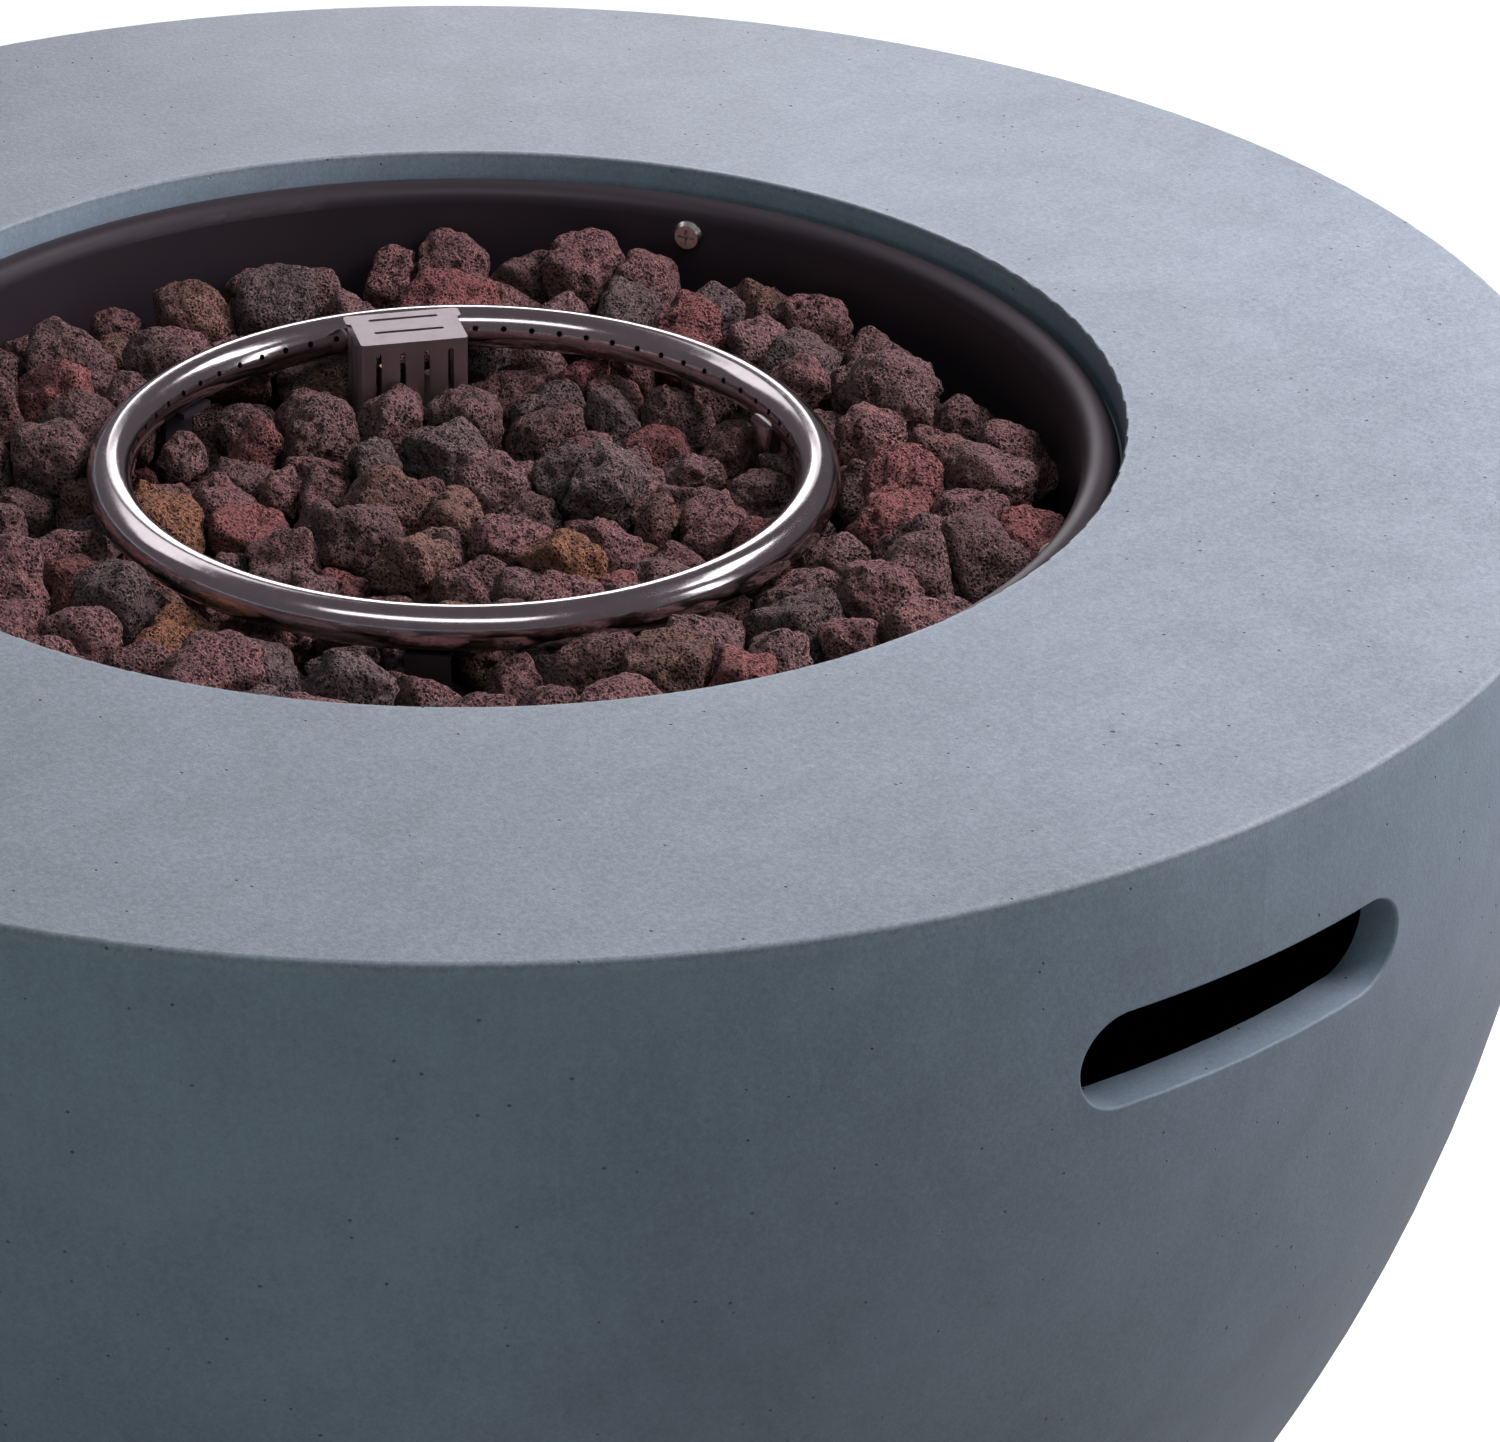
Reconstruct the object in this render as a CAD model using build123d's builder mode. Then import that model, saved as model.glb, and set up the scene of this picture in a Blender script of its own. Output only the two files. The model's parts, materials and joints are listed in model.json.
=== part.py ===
from build123d import *

import math
import os
import random

import numpy as np
from scipy.spatial import HalfspaceIntersection

# Round gas fire pit: a cast concrete bowl, a drop-in burner pan, a ring burner in lava rock,
# a pilot under a slotted cover, and a valve and igniter on a panel in the bowl's side.
# Origin: middle of the circle that the feet stand on. +Z up, hand slots at +X and -X,
# control panel at -Y. All lengths in millimetres, all angles in degrees.

# Driving sizes of the bowl
rim_radius = 355.6
body_height = 380
base_radius = 252
side_radius = 611
wall = 14
slab_thickness = 32
opening_radius = 209.7
base_flange = 24
base_opening_radius = 190
rim_edge_round = 1.5
opening_edge_round = 1
base_edge_round = 5
hand_slot_length = 126
hand_slot_height = 31
hand_slot_depth_below_rim = 60.5
hand_slot_edge_round = 0.8

# Feet
foot_height = 8
foot_radius = 20
foot_circle_radius = 220
foot_count = 4
foot_screw_radius = 2.5
foot_screw_length = 20
foot_head_radius = 5
foot_head_height = 3
foot_insert_radius = 4.5
foot_insert_length = 18

# Burner pan
pan_sheet = 1.2
pan_radius = 197.5
pan_depth_below_rim = 80
pan_corner_round = 5
pan_lip_depth_below_rim = 7.7
pan_lip_roll = 5.6
pan_hole_clearance = 1
pan_screw_count = 4
pan_screw_first_angle = 28.1
pan_screw_depth_below_rim = 19
pan_screw_radius = 2.3
pan_screw_length = 22
pan_screw_head_radius = 5.4
pan_screw_head_height = 2.8
anchor_radius = 3.5
anchor_length = 24
drain_radius = 3
drain_circle_radius = 165
drain_count = 6

# Heat shield under the pan
shield_radius = 150
shield_drop = 21
shield_sheet = 1
shield_rim = 9
shield_hole_gap = 3
shield_bolt_circle = 95
shield_bolt_first_angle = 10
shield_bolt_count = 3
shield_bolt_radius = 2.5
shield_head_radius = 5
shield_head_height = 3
shield_bolt_spare = 1.5
shield_spacer_radius = 5
shield_nut_flats = 8
shield_nut_height = 4

# Ring burner
ring_radius = 113
ring_tube_radius = 7.15
ring_tube_wall = 0.9
ring_depth_below_rim = 24
port_count = 70
port_radius = 1
port_lift = 17
port_turn = 0.7
inlet_angle = 76
inlet_inset = 1.2
collar_radius = 8
collar_height = 22
collar_top_below_ring_centre = 4
collar_cap = 2
inlet_pipe_radius = 6.75
inlet_pipe_bore = 5.25
inlet_pipe_below_pan = 22
inlet_flange_flats = 22
inlet_flange_height = 5
lock_nut_height = 6
bracket_angles = [inlet_angle + 120, inlet_angle + 240]
bracket_width = 14
bracket_sheet = 2
bracket_foot = 22
bracket_saddle = 5

# Air mixer and gas jet
mixer_radius = 10
mixer_length = 48
mixer_bore = 5.5
mixer_floor = 8
air_hole_radius = 3.5
air_hole_count = 4
jet_flats = 15
jet_head_height = 6
jet_shank_radius = 4
jet_nose_length = 14
jet_bore = 0.6
flare_radius = 5
flare_length = 11

# Pilot: cover, bracket, flame sensor and spark electrode
pilot_angle = 153.5
cover_ring_gap = 0.5
cover_width = 36
cover_depth = 25
cover_sheet = 1
cover_top_below_rim = 14
cover_ear = 1.5
cover_ear_depth = 7
cover_tab = 11
cover_slot_width = 2
cover_slot_pitch = 8.1
cover_slot_top = 3.4
cover_slot_length = 40
top_slot_length = 23.5
top_slot_width = 1.7
top_slot_pitch = 10.4
top_slot_back = 2.3
pilot_shelf_height = 36
pilot_bracket_width = 30
pilot_bracket_sheet = 1.5
pilot_spacing = 16
bracket_screw_x = 9
shelf_hole_y = 3
sensor_radius = 3
sensor_length = 44
electrode_radius = 3
electrode_length = 30
electrode_wire_radius = 0.75
electrode_wire_out = 9
electrode_wire_drop = 3
sensor_low = 10
ceramic_low = 20
lead_overlap = 2
collar_sheet = 2
sheet_screw_radius = 1.9
sheet_screw_head_radius = 3.5
sheet_screw_head_height = 2
sheet_screw_length = 7

# Lava rock
rock_gap = 0.4
rock_inner_pitch = 23
rock_outer_pitch = 25.5
rock_bottom_pitch = 38
rock_top_below_rim = 46
rock_limit_below_rim = 13.5
rock_height_spread = 5
rock_bank_rise = 10
rock_bank_width = 30
rock_bank_lean = 3
rock_bank_high_angle = -20
rock_edge = 0.36
rock_seed = 28

# Control panel
panel_below_rim = 215
panel_recess = 9
panel_width = 120
panel_height = 76
panel_sheet = 2
panel_corner = 5
panel_gap = 0.6
panel_opening_width = 92
panel_opening_height = 50
panel_screw_x = 54
panel_screw_y = 32
panel_screw_radius = 1.9
panel_screw_length = 9
panel_anchor_radius = 3
panel_anchor_length = 8

# Valve and knob
valve_x = -22
valve_width = 34
valve_height = 40
valve_depth = 46
bonnet_sheet = 4
valve_screw_y = 13.5
valve_screw_radius = 1.9
valve_screw_length = 11
inlet_depth = 27
outlet_x = 4
outlet_y = -9
port_x = -8
port_y = 11
chamber_radius = 9
chamber_depth = 30
stem_radius = 4
stem_flat = 1.2
stem_hole_gap = 2
stem_collar_radius = 7.5
stem_collar_length = 5
stem_collar_depth = 12
knob_travel = 4
plunger_radius = 3
plunger_length = 18
plunger_spring_room = 2.5
knob_radius = 22
knob_height = 22
knob_push_gap = 1
knob_wall = 2.5
knob_bore_cap = 3
knob_skirt = 5
knob_disc_height = 9
knob_bar_width = 11
knob_bar_length = 37.4
knob_grip_count = 18
knob_grip_radius = 1.6
groove_depth = 0.6
groove_width = 1.6
dial_radius = 27
dial_height = 1
dial_knob_gap = 1

# Igniter
igniter_x = 24
igniter_barrel_radius = 9
igniter_length = 40
igniter_flange_radius = 12
igniter_flange_height = 2
igniter_nut_flats = 24
igniter_nut_height = 6
button_radius = 6
button_out = 8
button_travel = 5
button_inside = 20

# Gas and signal lines
gas_tube_radius = 4.75
gas_tube_wall = 1
gas_nut_flats = 16
gas_nut_length = 18
inlet_stud_radius = 7.94
inlet_stud_length = 15
inlet_hex_flats = 20
inlet_hex_height = 7
inlet_shank_radius = 5
inlet_bore = 4
port_stud_radius = 3
port_stud_length = 6
port_nut_flats = 10
port_nut_length = 9
lead_radius = 1.25
terminal_length = 8

# Hose grommet in the rear wall
grommet_height = 66
grommet_radius = 14
grommet_bore = 9.5
grommet_lip = 3
grommet_lip_radius = 18

# Clearances
running_clearance = 0.05
shank_clearance = 0.1
hole_clearance = 0.3
seat_gap = 0.3


# Levels and radii that follow from the driving sizes
rim_top = foot_height + body_height
slab_bottom = rim_top - slab_thickness
pan_hole_radius = pan_radius + pan_hole_clearance
lip_top = rim_top - pan_lip_depth_below_rim
ledge = lip_top - pan_lip_roll - pan_sheet / 2
pan_floor = rim_top - pan_depth_below_rim
pan_under = pan_floor - pan_sheet
pan_inner_radius = pan_radius - pan_sheet
ring_height = rim_top - ring_depth_below_rim
shield_top = pan_under - shield_drop
flange_top = foot_height + base_flange

# The bowl's side is one arc from the rim's edge to the base's edge
chord_run = rim_radius - base_radius
chord_rise = body_height
chord = math.hypot(chord_run, chord_rise)
centre_reach = math.sqrt(side_radius**2 - chord**2 / 4)
side_centre_r = (rim_radius + base_radius) / 2 - centre_reach * chord_rise / chord
side_centre_z = foot_height + body_height / 2 + centre_reach * chord_run / chord


def side_at(height, inset=0):
    """Radius of the bowl's side at a height, or of a face that lies inset behind it."""
    reach = side_radius - inset
    return side_centre_r + math.sqrt(reach**2 - (height - side_centre_z) ** 2)


def polar(radius, angle, height=0):
    """Point at a radius and an angle about the bowl's axis."""
    turn = math.radians(angle)
    return Vector(radius * math.cos(turn), radius * math.sin(turn), height)


def save(part, name):
    """Label a finished piece and write it."""
    part.part.label = name
    export_step(part.part, f"parts/{name}.step")


def disc(plane, low, high, radius, at=(0, 0), mode=Mode.ADD):
    """Round bar between two heights over a plane."""
    with BuildSketch(plane.offset(low)) as face:
        with Locations(at):
            Circle(radius)
    extrude(face.sketch, amount=high - low, mode=mode)


def hexagon(plane, low, high, flats, at=(0, 0), mode=Mode.ADD):
    """Hexagonal bar between two heights over a plane, sized across its flats."""
    with BuildSketch(plane.offset(low)) as face:
        with Locations(at):
            RegularPolygon(flats / 2, 6, major_radius=False)
    extrude(face.sketch, amount=high - low, mode=mode)


def slab(plane, low, high, width, height, at=(0, 0), corner=0, mode=Mode.ADD):
    """Rectangular block between two heights over a plane."""
    with BuildSketch(plane.offset(low)) as face:
        with Locations(at):
            if corner:
                RectangleRounded(width, height, corner)
            else:
                Rectangle(width, height)
    extrude(face.sketch, amount=high - low, mode=mode)


def screw(plane, seat, shank_radius, shank_length, head_radius, head_height, at=(0, 0)):
    """Domed cross-recess screw, its head standing up from a seat over a plane."""
    disc(plane, seat - shank_length, seat, shank_radius, at)
    disc(plane, seat, seat + 0.4 * head_height, head_radius, at)
    with BuildSketch(plane.offset(seat + 0.4 * head_height)) as dome:
        with Locations(at):
            Circle(head_radius)
    extrude(dome.sketch, amount=0.6 * head_height, taper=35)
    with BuildSketch(plane.offset(seat + head_height)) as cross:
        with Locations(at):
            Rectangle(1.1 * head_radius, 0.22 * head_radius)
            Rectangle(0.22 * head_radius, 1.1 * head_radius)
    extrude(cross.sketch, amount=-0.6 * head_height, mode=Mode.SUBTRACT)


def bent_tube(name, points, radius, bore=0):
    """Tube along straight runs joined by tangent arcs, each as large as its two runs allow."""
    stops = [Vector(p) for p in points]
    radii = []
    with BuildLine() as path:
        start = stops[0]
        for before, corner, after in zip(stops, stops[1:], stops[2:]):
            reach = 0.45 * min((before - corner).length, (after - corner).length)
            arc_start = corner + (before - corner).normalized() * reach
            arc_end = corner + (after - corner).normalized() * reach
            Line(start, arc_start)
            TangentArc(arc_start, arc_end, tangent=corner - before)
            start = arc_end
            turn = math.radians((corner - before).get_angle(after - corner))
            radii.append(round(reach / math.tan(turn / 2), 1))
        Line(start, stops[-1])
    with BuildSketch(Plane(origin=stops[0], z_dir=stops[1] - stops[0])) as section:
        Circle(radius)
        if bore:
            Circle(bore, mode=Mode.SUBTRACT)
    sweep(section.sketch, path=path.wire())
    length = path.wire().length
    volume = length * math.pi * (radius**2 - bore**2)
    print(name, "length", round(length, 1), "bend radii", radii, "plain tube volume", round(volume, 1))


os.makedirs("parts", exist_ok=True)

# Panel plane: flat floor of the panel's recess, square to the bowl's side there
panel_level = rim_top - panel_below_rim
panel_tilt = math.asin((side_centre_z - panel_level) / side_radius)
panel_normal = Vector(0, -math.cos(panel_tilt), -math.sin(panel_tilt))
panel_surface = Vector(0, -side_at(panel_level), panel_level)
panel = Plane(origin=panel_surface - panel_normal * panel_recess, x_dir=(1, 0, 0), z_dir=panel_normal)
panel_screws = [(x, y) for x in (-panel_screw_x, panel_screw_x) for y in (-panel_screw_y, panel_screw_y)]

# Grommet plane: middle of the rear wall, square to it
grommet_tilt = math.asin((side_centre_z - grommet_height) / side_radius)
grommet_origin = (0, side_at(grommet_height, wall / 2), grommet_height)
grommet_normal = (0, math.cos(grommet_tilt), -math.sin(grommet_tilt))
grommet_plane = Plane(origin=grommet_origin, x_dir=(-1, 0, 0), z_dir=grommet_normal)


# Burner pan screws and their anchors in the concrete
anchor_start = pan_sheet + pan_hole_clearance
anchor_end = anchor_start + anchor_length
pan_screw_angles = [pan_screw_first_angle + 360 * i / pan_screw_count for i in range(pan_screw_count)]


def pan_screw_plane(angle):
    """Plane on the inside of the pan's wall at a screw, with its normal pointing at the axis."""
    origin = polar(pan_inner_radius, angle, rim_top - pan_screw_depth_below_rim)
    return Plane(origin=origin, x_dir=(0, 0, 1), z_dir=-polar(1, angle))


# Concrete bowl: rim, ledge for the pan, side wall and base flange in one casting
with BuildPart() as bowl_shell:
    with BuildSketch(Plane.XZ) as section:
        with BuildLine():
            inner_low = (side_at(flange_top, wall), flange_top)
            inner_high = (side_at(slab_bottom, wall), slab_bottom)
            Polyline((opening_radius, ledge), (opening_radius, rim_top), (rim_radius, rim_top))
            RadiusArc((rim_radius, rim_top), (base_radius, foot_height), side_radius)
            Polyline(
                (base_radius, foot_height),
                (base_opening_radius, foot_height),
                (base_opening_radius, flange_top),
                inner_low,
            )
            RadiusArc(inner_low, inner_high, -(side_radius - wall))
            Polyline(
                inner_high,
                (pan_hole_radius, slab_bottom),
                (pan_hole_radius, ledge),
                (opening_radius, ledge),
            )
        make_face()
        corners = section.vertices()
        fillet(corners.sort_by_distance((rim_radius, rim_top))[0], rim_edge_round)
        corners = section.vertices()
        fillet(corners.sort_by_distance((opening_radius, rim_top))[0], opening_edge_round)
        corners = section.vertices()
        fillet(corners.sort_by_distance((base_radius, foot_height))[0], base_edge_round)
        corners = section.vertices()
        fillet(corners.sort_by_distance(inner_high)[0], wall / 2)
    revolve(axis=Axis.Z)

    # hand slots, right through both sides
    with BuildSketch(Plane.YZ):
        with Locations((0, rim_top - hand_slot_depth_below_rim)):
            SlotOverall(hand_slot_length, hand_slot_height)
    extrude(amount=rim_radius + wall, both=True, mode=Mode.SUBTRACT)
    slot_level = rim_top - hand_slot_depth_below_rim
    slot_edges = bowl_shell.edges().filter_by(
        lambda e: abs(e.center().Z - slot_level) < hand_slot_height
        and abs(e.center().Y) < hand_slot_length / 2 + 1
        and math.hypot(e.center().X, e.center().Y) > side_at(slot_level) - wall / 2
        and e.length < 2 * hand_slot_length
    )
    fillet(slot_edges, hand_slot_edge_round)

    # recess and opening for the control panel
    slab(
        panel, 0, 3 * panel_recess, panel_width + 2 * panel_gap, panel_height + 2 * panel_gap,
        corner=panel_corner, mode=Mode.SUBTRACT,
    )
    slab(
        panel, -2 * wall, 1, panel_opening_width, panel_opening_height,
        corner=panel_corner, mode=Mode.SUBTRACT,
    )
    for spot in panel_screws:
        disc(panel, -panel_anchor_length, 1, panel_anchor_radius + shank_clearance, spot, Mode.SUBTRACT)

    # holes for the pan screws' anchors, the foot inserts and the hose grommet
    for angle in pan_screw_angles:
        disc(pan_screw_plane(angle), -anchor_end, 0, anchor_radius + shank_clearance, mode=Mode.SUBTRACT)
    with PolarLocations(foot_circle_radius, foot_count, start_angle=45):
        Cylinder(
            foot_insert_radius + shank_clearance, foot_height + foot_insert_length,
            align=(Align.CENTER, Align.CENTER, Align.MIN), mode=Mode.SUBTRACT,
        )
    disc(grommet_plane, -wall, wall, grommet_radius + hole_clearance, mode=Mode.SUBTRACT)
save(bowl_shell, "bowl_shell")

# Rubber feet, with a recess under each for the screw head
foot_recess = foot_head_height + 2 * seat_gap
foot_spots = [polar(foot_circle_radius, 45 + 360 * i / foot_count) for i in range(foot_count)]
with BuildPart() as rubber_feet:
    for spot in foot_spots:
        disc(Plane.XY, 0, foot_height, foot_radius, spot)
    chamfer(rubber_feet.edges().filter_by(GeomType.CIRCLE).group_by(Axis.Z)[0], 1)
    for spot in foot_spots:
        disc(Plane.XY, 0, foot_height, foot_screw_radius + hole_clearance, spot, Mode.SUBTRACT)
        disc(Plane.XY, 0, foot_recess, foot_head_radius + 2 * hole_clearance, spot, Mode.SUBTRACT)
save(rubber_feet, "rubber_feet")

foot_plane = Plane(origin=(0, 0, foot_recess), x_dir=(1, 0, 0), z_dir=(0, 0, -1))
with BuildPart() as foot_screws:
    for spot in foot_spots:
        screw(
            foot_plane, 0, foot_screw_radius, foot_screw_length, foot_head_radius, foot_head_height,
            (spot.X, -spot.Y),
        )
save(foot_screws, "foot_screws")

with BuildPart() as foot_inserts:
    for spot in foot_spots:
        disc(Plane.XY, foot_height, foot_height + foot_insert_length, foot_insert_radius, spot)
        disc(
            Plane.XY, foot_height, foot_height + foot_insert_length, foot_screw_radius + shank_clearance,
            spot, Mode.SUBTRACT,
        )
save(foot_inserts, "foot_inserts")

with BuildPart() as hose_grommet:
    lip_start = wall / 2
    inner_lip = wall / 2 + 3 * seat_gap
    disc(grommet_plane, -inner_lip, lip_start, grommet_radius)
    disc(grommet_plane, lip_start, lip_start + grommet_lip, grommet_lip_radius)
    disc(grommet_plane, -inner_lip - grommet_lip, -inner_lip, grommet_lip_radius)
    rounds = hose_grommet.edges().filter_by(GeomType.CIRCLE)
    fillet(rounds.filter_by(lambda e: abs(e.radius - grommet_lip_radius) < seat_gap), 1)
    disc(grommet_plane, -2 * wall, 2 * wall, grommet_bore, mode=Mode.SUBTRACT)
save(hose_grommet, "hose_grommet")

# Places on the pan's floor
inlet = Plane(origin=polar(ring_radius - inlet_inset, inlet_angle))
inlet_spot = polar(ring_radius - inlet_inset, inlet_angle)
cover_back = math.sqrt((ring_radius - ring_tube_radius - cover_ring_gap) ** 2 - cover_width**2 / 4)
pilot = Plane(
    origin=polar(cover_back - cover_depth / 2, pilot_angle, pan_floor),
    x_dir=polar(1, pilot_angle + 90),
    z_dir=(0, 0, 1),
)
cover_height = rim_top - cover_top_below_rim - pan_floor
cover_screw_x = cover_width / 2 + cover_tab / 2
cover_screws = [(-cover_screw_x, 0), (cover_screw_x, 0)]
upright_y = shelf_hole_y - 2 * sensor_radius
bracket_end_y = hole_clearance - cover_depth / 2
bracket_screw_y = (upright_y - pilot_bracket_sheet + bracket_end_y) / 2
pilot_bracket_screws = [(-bracket_screw_x, bracket_screw_y), (bracket_screw_x, bracket_screw_y)]
sensor_spot = (pilot_spacing / 2, shelf_hole_y)
electrode_spot = (-pilot_spacing / 2, shelf_hole_y)
shield_bolts = [
    polar(shield_bolt_circle, shield_bolt_first_angle + 360 * i / shield_bolt_count)
    for i in range(shield_bolt_count)
]
leg_inset = bracket_foot / 2 + bracket_sheet
leg_screw_spots = [polar(ring_radius - leg_inset, angle) for angle in bracket_angles]

# Burner pan: one pressed sheet, floor, wall and a rolled lip that hangs on the ledge
with BuildPart() as burner_pan:
    with BuildSketch(Plane.XZ) as pan_section:
        with BuildLine():
            wall_line = pan_radius - pan_sheet / 2
            floor_line = pan_floor - pan_sheet / 2
            bend = pan_corner_round + pan_sheet / 2
            Line((0, floor_line), (wall_line - bend, floor_line))
            RadiusArc((wall_line - bend, floor_line), (wall_line, floor_line + bend), -bend)
            Line((wall_line, floor_line + bend), (wall_line, ledge))
            RadiusArc((wall_line, ledge), (wall_line + 2 * pan_lip_roll, ledge), pan_lip_roll)
        trace(line_width=pan_sheet)
    revolve(axis=Axis.Z)
    for angle in pan_screw_angles:
        disc(
            pan_screw_plane(angle), -3 * pan_sheet, pan_sheet, pan_screw_radius + hole_clearance,
            mode=Mode.SUBTRACT,
        )
    with BuildSketch(Plane.XY.offset(pan_floor)):
        with Locations(inlet_spot):
            Circle(inlet_pipe_radius + hole_clearance)
        with Locations(*shield_bolts):
            Circle(shield_bolt_radius + hole_clearance)
        with Locations(*leg_screw_spots):
            Circle(sheet_screw_radius + hole_clearance)
        with PolarLocations(drain_circle_radius, drain_count):
            Circle(drain_radius)
    extrude(amount=-2 * pan_sheet, mode=Mode.SUBTRACT)
    for spot in cover_screws + pilot_bracket_screws:
        disc(pilot, -2 * pan_sheet, 0, sheet_screw_radius + hole_clearance, spot, Mode.SUBTRACT)
    for spot in (sensor_spot, electrode_spot):
        disc(pilot, -2 * pan_sheet, 0, 2 * lead_radius, spot, Mode.SUBTRACT)
save(burner_pan, "burner_pan")

with BuildPart() as pan_screws:
    for angle in pan_screw_angles:
        screw(
            pan_screw_plane(angle), shank_clearance, pan_screw_radius, pan_screw_length,
            pan_screw_head_radius, pan_screw_head_height,
        )
save(pan_screws, "pan_screws")

with BuildPart() as pan_anchors:
    for angle in pan_screw_angles:
        disc(pan_screw_plane(angle), -anchor_end, -anchor_start, anchor_radius)
        disc(
            pan_screw_plane(angle), -anchor_end, -anchor_start, pan_screw_radius + shank_clearance,
            mode=Mode.SUBTRACT,
        )
save(pan_anchors, "pan_anchors")

# Heat shield: a dished sheet hung under the pan on spacers
with BuildPart() as heat_shield:
    disc(Plane.XY, shield_top - shield_rim, shield_top, shield_radius)
    fillet(heat_shield.edges().group_by(Axis.Z)[-1], 3 * shield_sheet)
    offset(amount=-shield_sheet, openings=heat_shield.faces().sort_by(Axis.Z)[0])
    mixer_hole = mixer_radius + shield_hole_gap
    lead_hole = pilot_spacing / 2 + 3 * lead_radius
    disc(inlet, shield_top - shield_rim, shield_top, mixer_hole, mode=Mode.SUBTRACT)
    disc(pilot, -pan_sheet - shield_drop - shield_rim, 0, lead_hole, (0, shelf_hole_y), Mode.SUBTRACT)
    for spot in shield_bolts:
        disc(
            Plane.XY, shield_top - shield_rim, shield_top, shield_bolt_radius + hole_clearance,
            spot, Mode.SUBTRACT,
        )
save(heat_shield, "heat_shield")

with BuildPart() as shield_spacers:
    for spot in shield_bolts:
        disc(Plane.XY, shield_top, pan_under, shield_spacer_radius, spot)
        disc(Plane.XY, shield_top, pan_under, shield_bolt_radius + hole_clearance, spot, Mode.SUBTRACT)
save(shield_spacers, "shield_spacers")

shield_bolt_length = pan_sheet + shield_drop + shield_sheet + shield_nut_height + shield_bolt_spare
with BuildPart() as shield_screws:
    for spot in shield_bolts:
        screw(
            Plane.XY, pan_floor, shield_bolt_radius, shield_bolt_length,
            shield_head_radius, shield_head_height, spot,
        )
save(shield_screws, "shield_screws")

shield_under = shield_top - shield_sheet
with BuildPart() as shield_nuts:
    for spot in shield_bolts:
        hexagon(Plane.XY, shield_under - shield_nut_height, shield_under, shield_nut_flats, spot)
        disc(
            Plane.XY, shield_under - shield_nut_height, shield_under, shield_bolt_radius + shank_clearance,
            spot, Mode.SUBTRACT,
        )
save(shield_nuts, "shield_nuts")

# Burner ring: hollow tube, a row of ports facing inward and a little up, and a welded inlet collar
collar_top = ring_height - collar_top_below_ring_centre
with BuildPart() as burner_ring:
    with BuildSketch(Plane.XZ):
        with Locations((ring_radius, ring_height)):
            Circle(ring_tube_radius)
    revolve(axis=Axis.Z)
    disc(inlet, collar_top - collar_height, collar_top, collar_radius)
    with BuildSketch(Plane.XZ):
        with Locations((ring_radius, ring_height)):
            Circle(ring_tube_radius - ring_tube_wall)
    revolve(axis=Axis.Z, mode=Mode.SUBTRACT)
    disc(
        inlet, collar_top - collar_height, collar_top - collar_cap, inlet_pipe_radius + shank_clearance,
        mode=Mode.SUBTRACT,
    )
    port_reach = ring_tube_radius * math.cos(math.radians(port_lift))
    port_rise = ring_tube_radius * math.sin(math.radians(port_lift))
    with Locations((0, 0, ring_height + port_rise)):
        with PolarLocations(ring_radius - port_reach, port_count, start_angle=port_turn):
            Cylinder(
                port_radius, 4 * ring_tube_wall, rotation=(0, 90 + port_lift, 0), mode=Mode.SUBTRACT,
            )
save(burner_ring, "burner_ring")

# Inlet pipe: from the ring's collar down through the pan's floor
pipe_top = collar_top - collar_cap - seat_gap
pipe_end = pan_under - inlet_pipe_below_pan
with BuildPart() as inlet_pipe:
    disc(inlet, pipe_end, pipe_top, inlet_pipe_radius)
    hexagon(inlet, pan_floor, pan_floor + inlet_flange_height, inlet_flange_flats)
    disc(inlet, pipe_end, pipe_top, inlet_pipe_bore, mode=Mode.SUBTRACT)
save(inlet_pipe, "inlet_pipe")

with BuildPart() as inlet_lock_nut:
    hexagon(inlet, pan_under - lock_nut_height, pan_under, inlet_flange_flats)
    disc(
        inlet, pan_under - lock_nut_height, pan_under, inlet_pipe_radius + shank_clearance,
        mode=Mode.SUBTRACT,
    )
save(inlet_lock_nut, "inlet_lock_nut")

# Ring brackets: bent strips from the pan's floor to the underside of the ring
ring_under = ring_height - ring_tube_radius - shank_clearance
leg_x = bracket_saddle - bracket_sheet
foot_x = leg_x - bracket_foot - bracket_sheet
with BuildPart() as ring_brackets:
    for angle in bracket_angles:
        side = Plane(
            origin=polar(ring_radius, angle), x_dir=polar(1, angle), z_dir=polar(1, angle - 90)
        )
        with BuildSketch(side) as strip:
            with BuildLine():
                Polyline(
                    (foot_x, pan_floor),
                    (bracket_saddle, pan_floor),
                    (bracket_saddle, ring_under),
                    (-bracket_saddle, ring_under),
                    (-bracket_saddle, ring_under - bracket_sheet),
                    (leg_x, ring_under - bracket_sheet),
                    (leg_x, pan_floor + bracket_sheet),
                    (foot_x, pan_floor + bracket_sheet),
                    close=True,
                )
            make_face()
        extrude(strip.sketch, amount=bracket_width / 2, both=True)
    for spot in leg_screw_spots:
        disc(
            Plane.XY, pan_floor, pan_floor + bracket_sheet, sheet_screw_radius + hole_clearance,
            spot, Mode.SUBTRACT,
        )
save(ring_brackets, "ring_brackets")

with BuildPart() as bracket_screws:
    for spot in leg_screw_spots:
        screw(
            Plane.XY, pan_floor + bracket_sheet, sheet_screw_radius, sheet_screw_length,
            sheet_screw_head_radius, sheet_screw_head_height, spot,
        )
save(bracket_screws, "bracket_screws")

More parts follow.
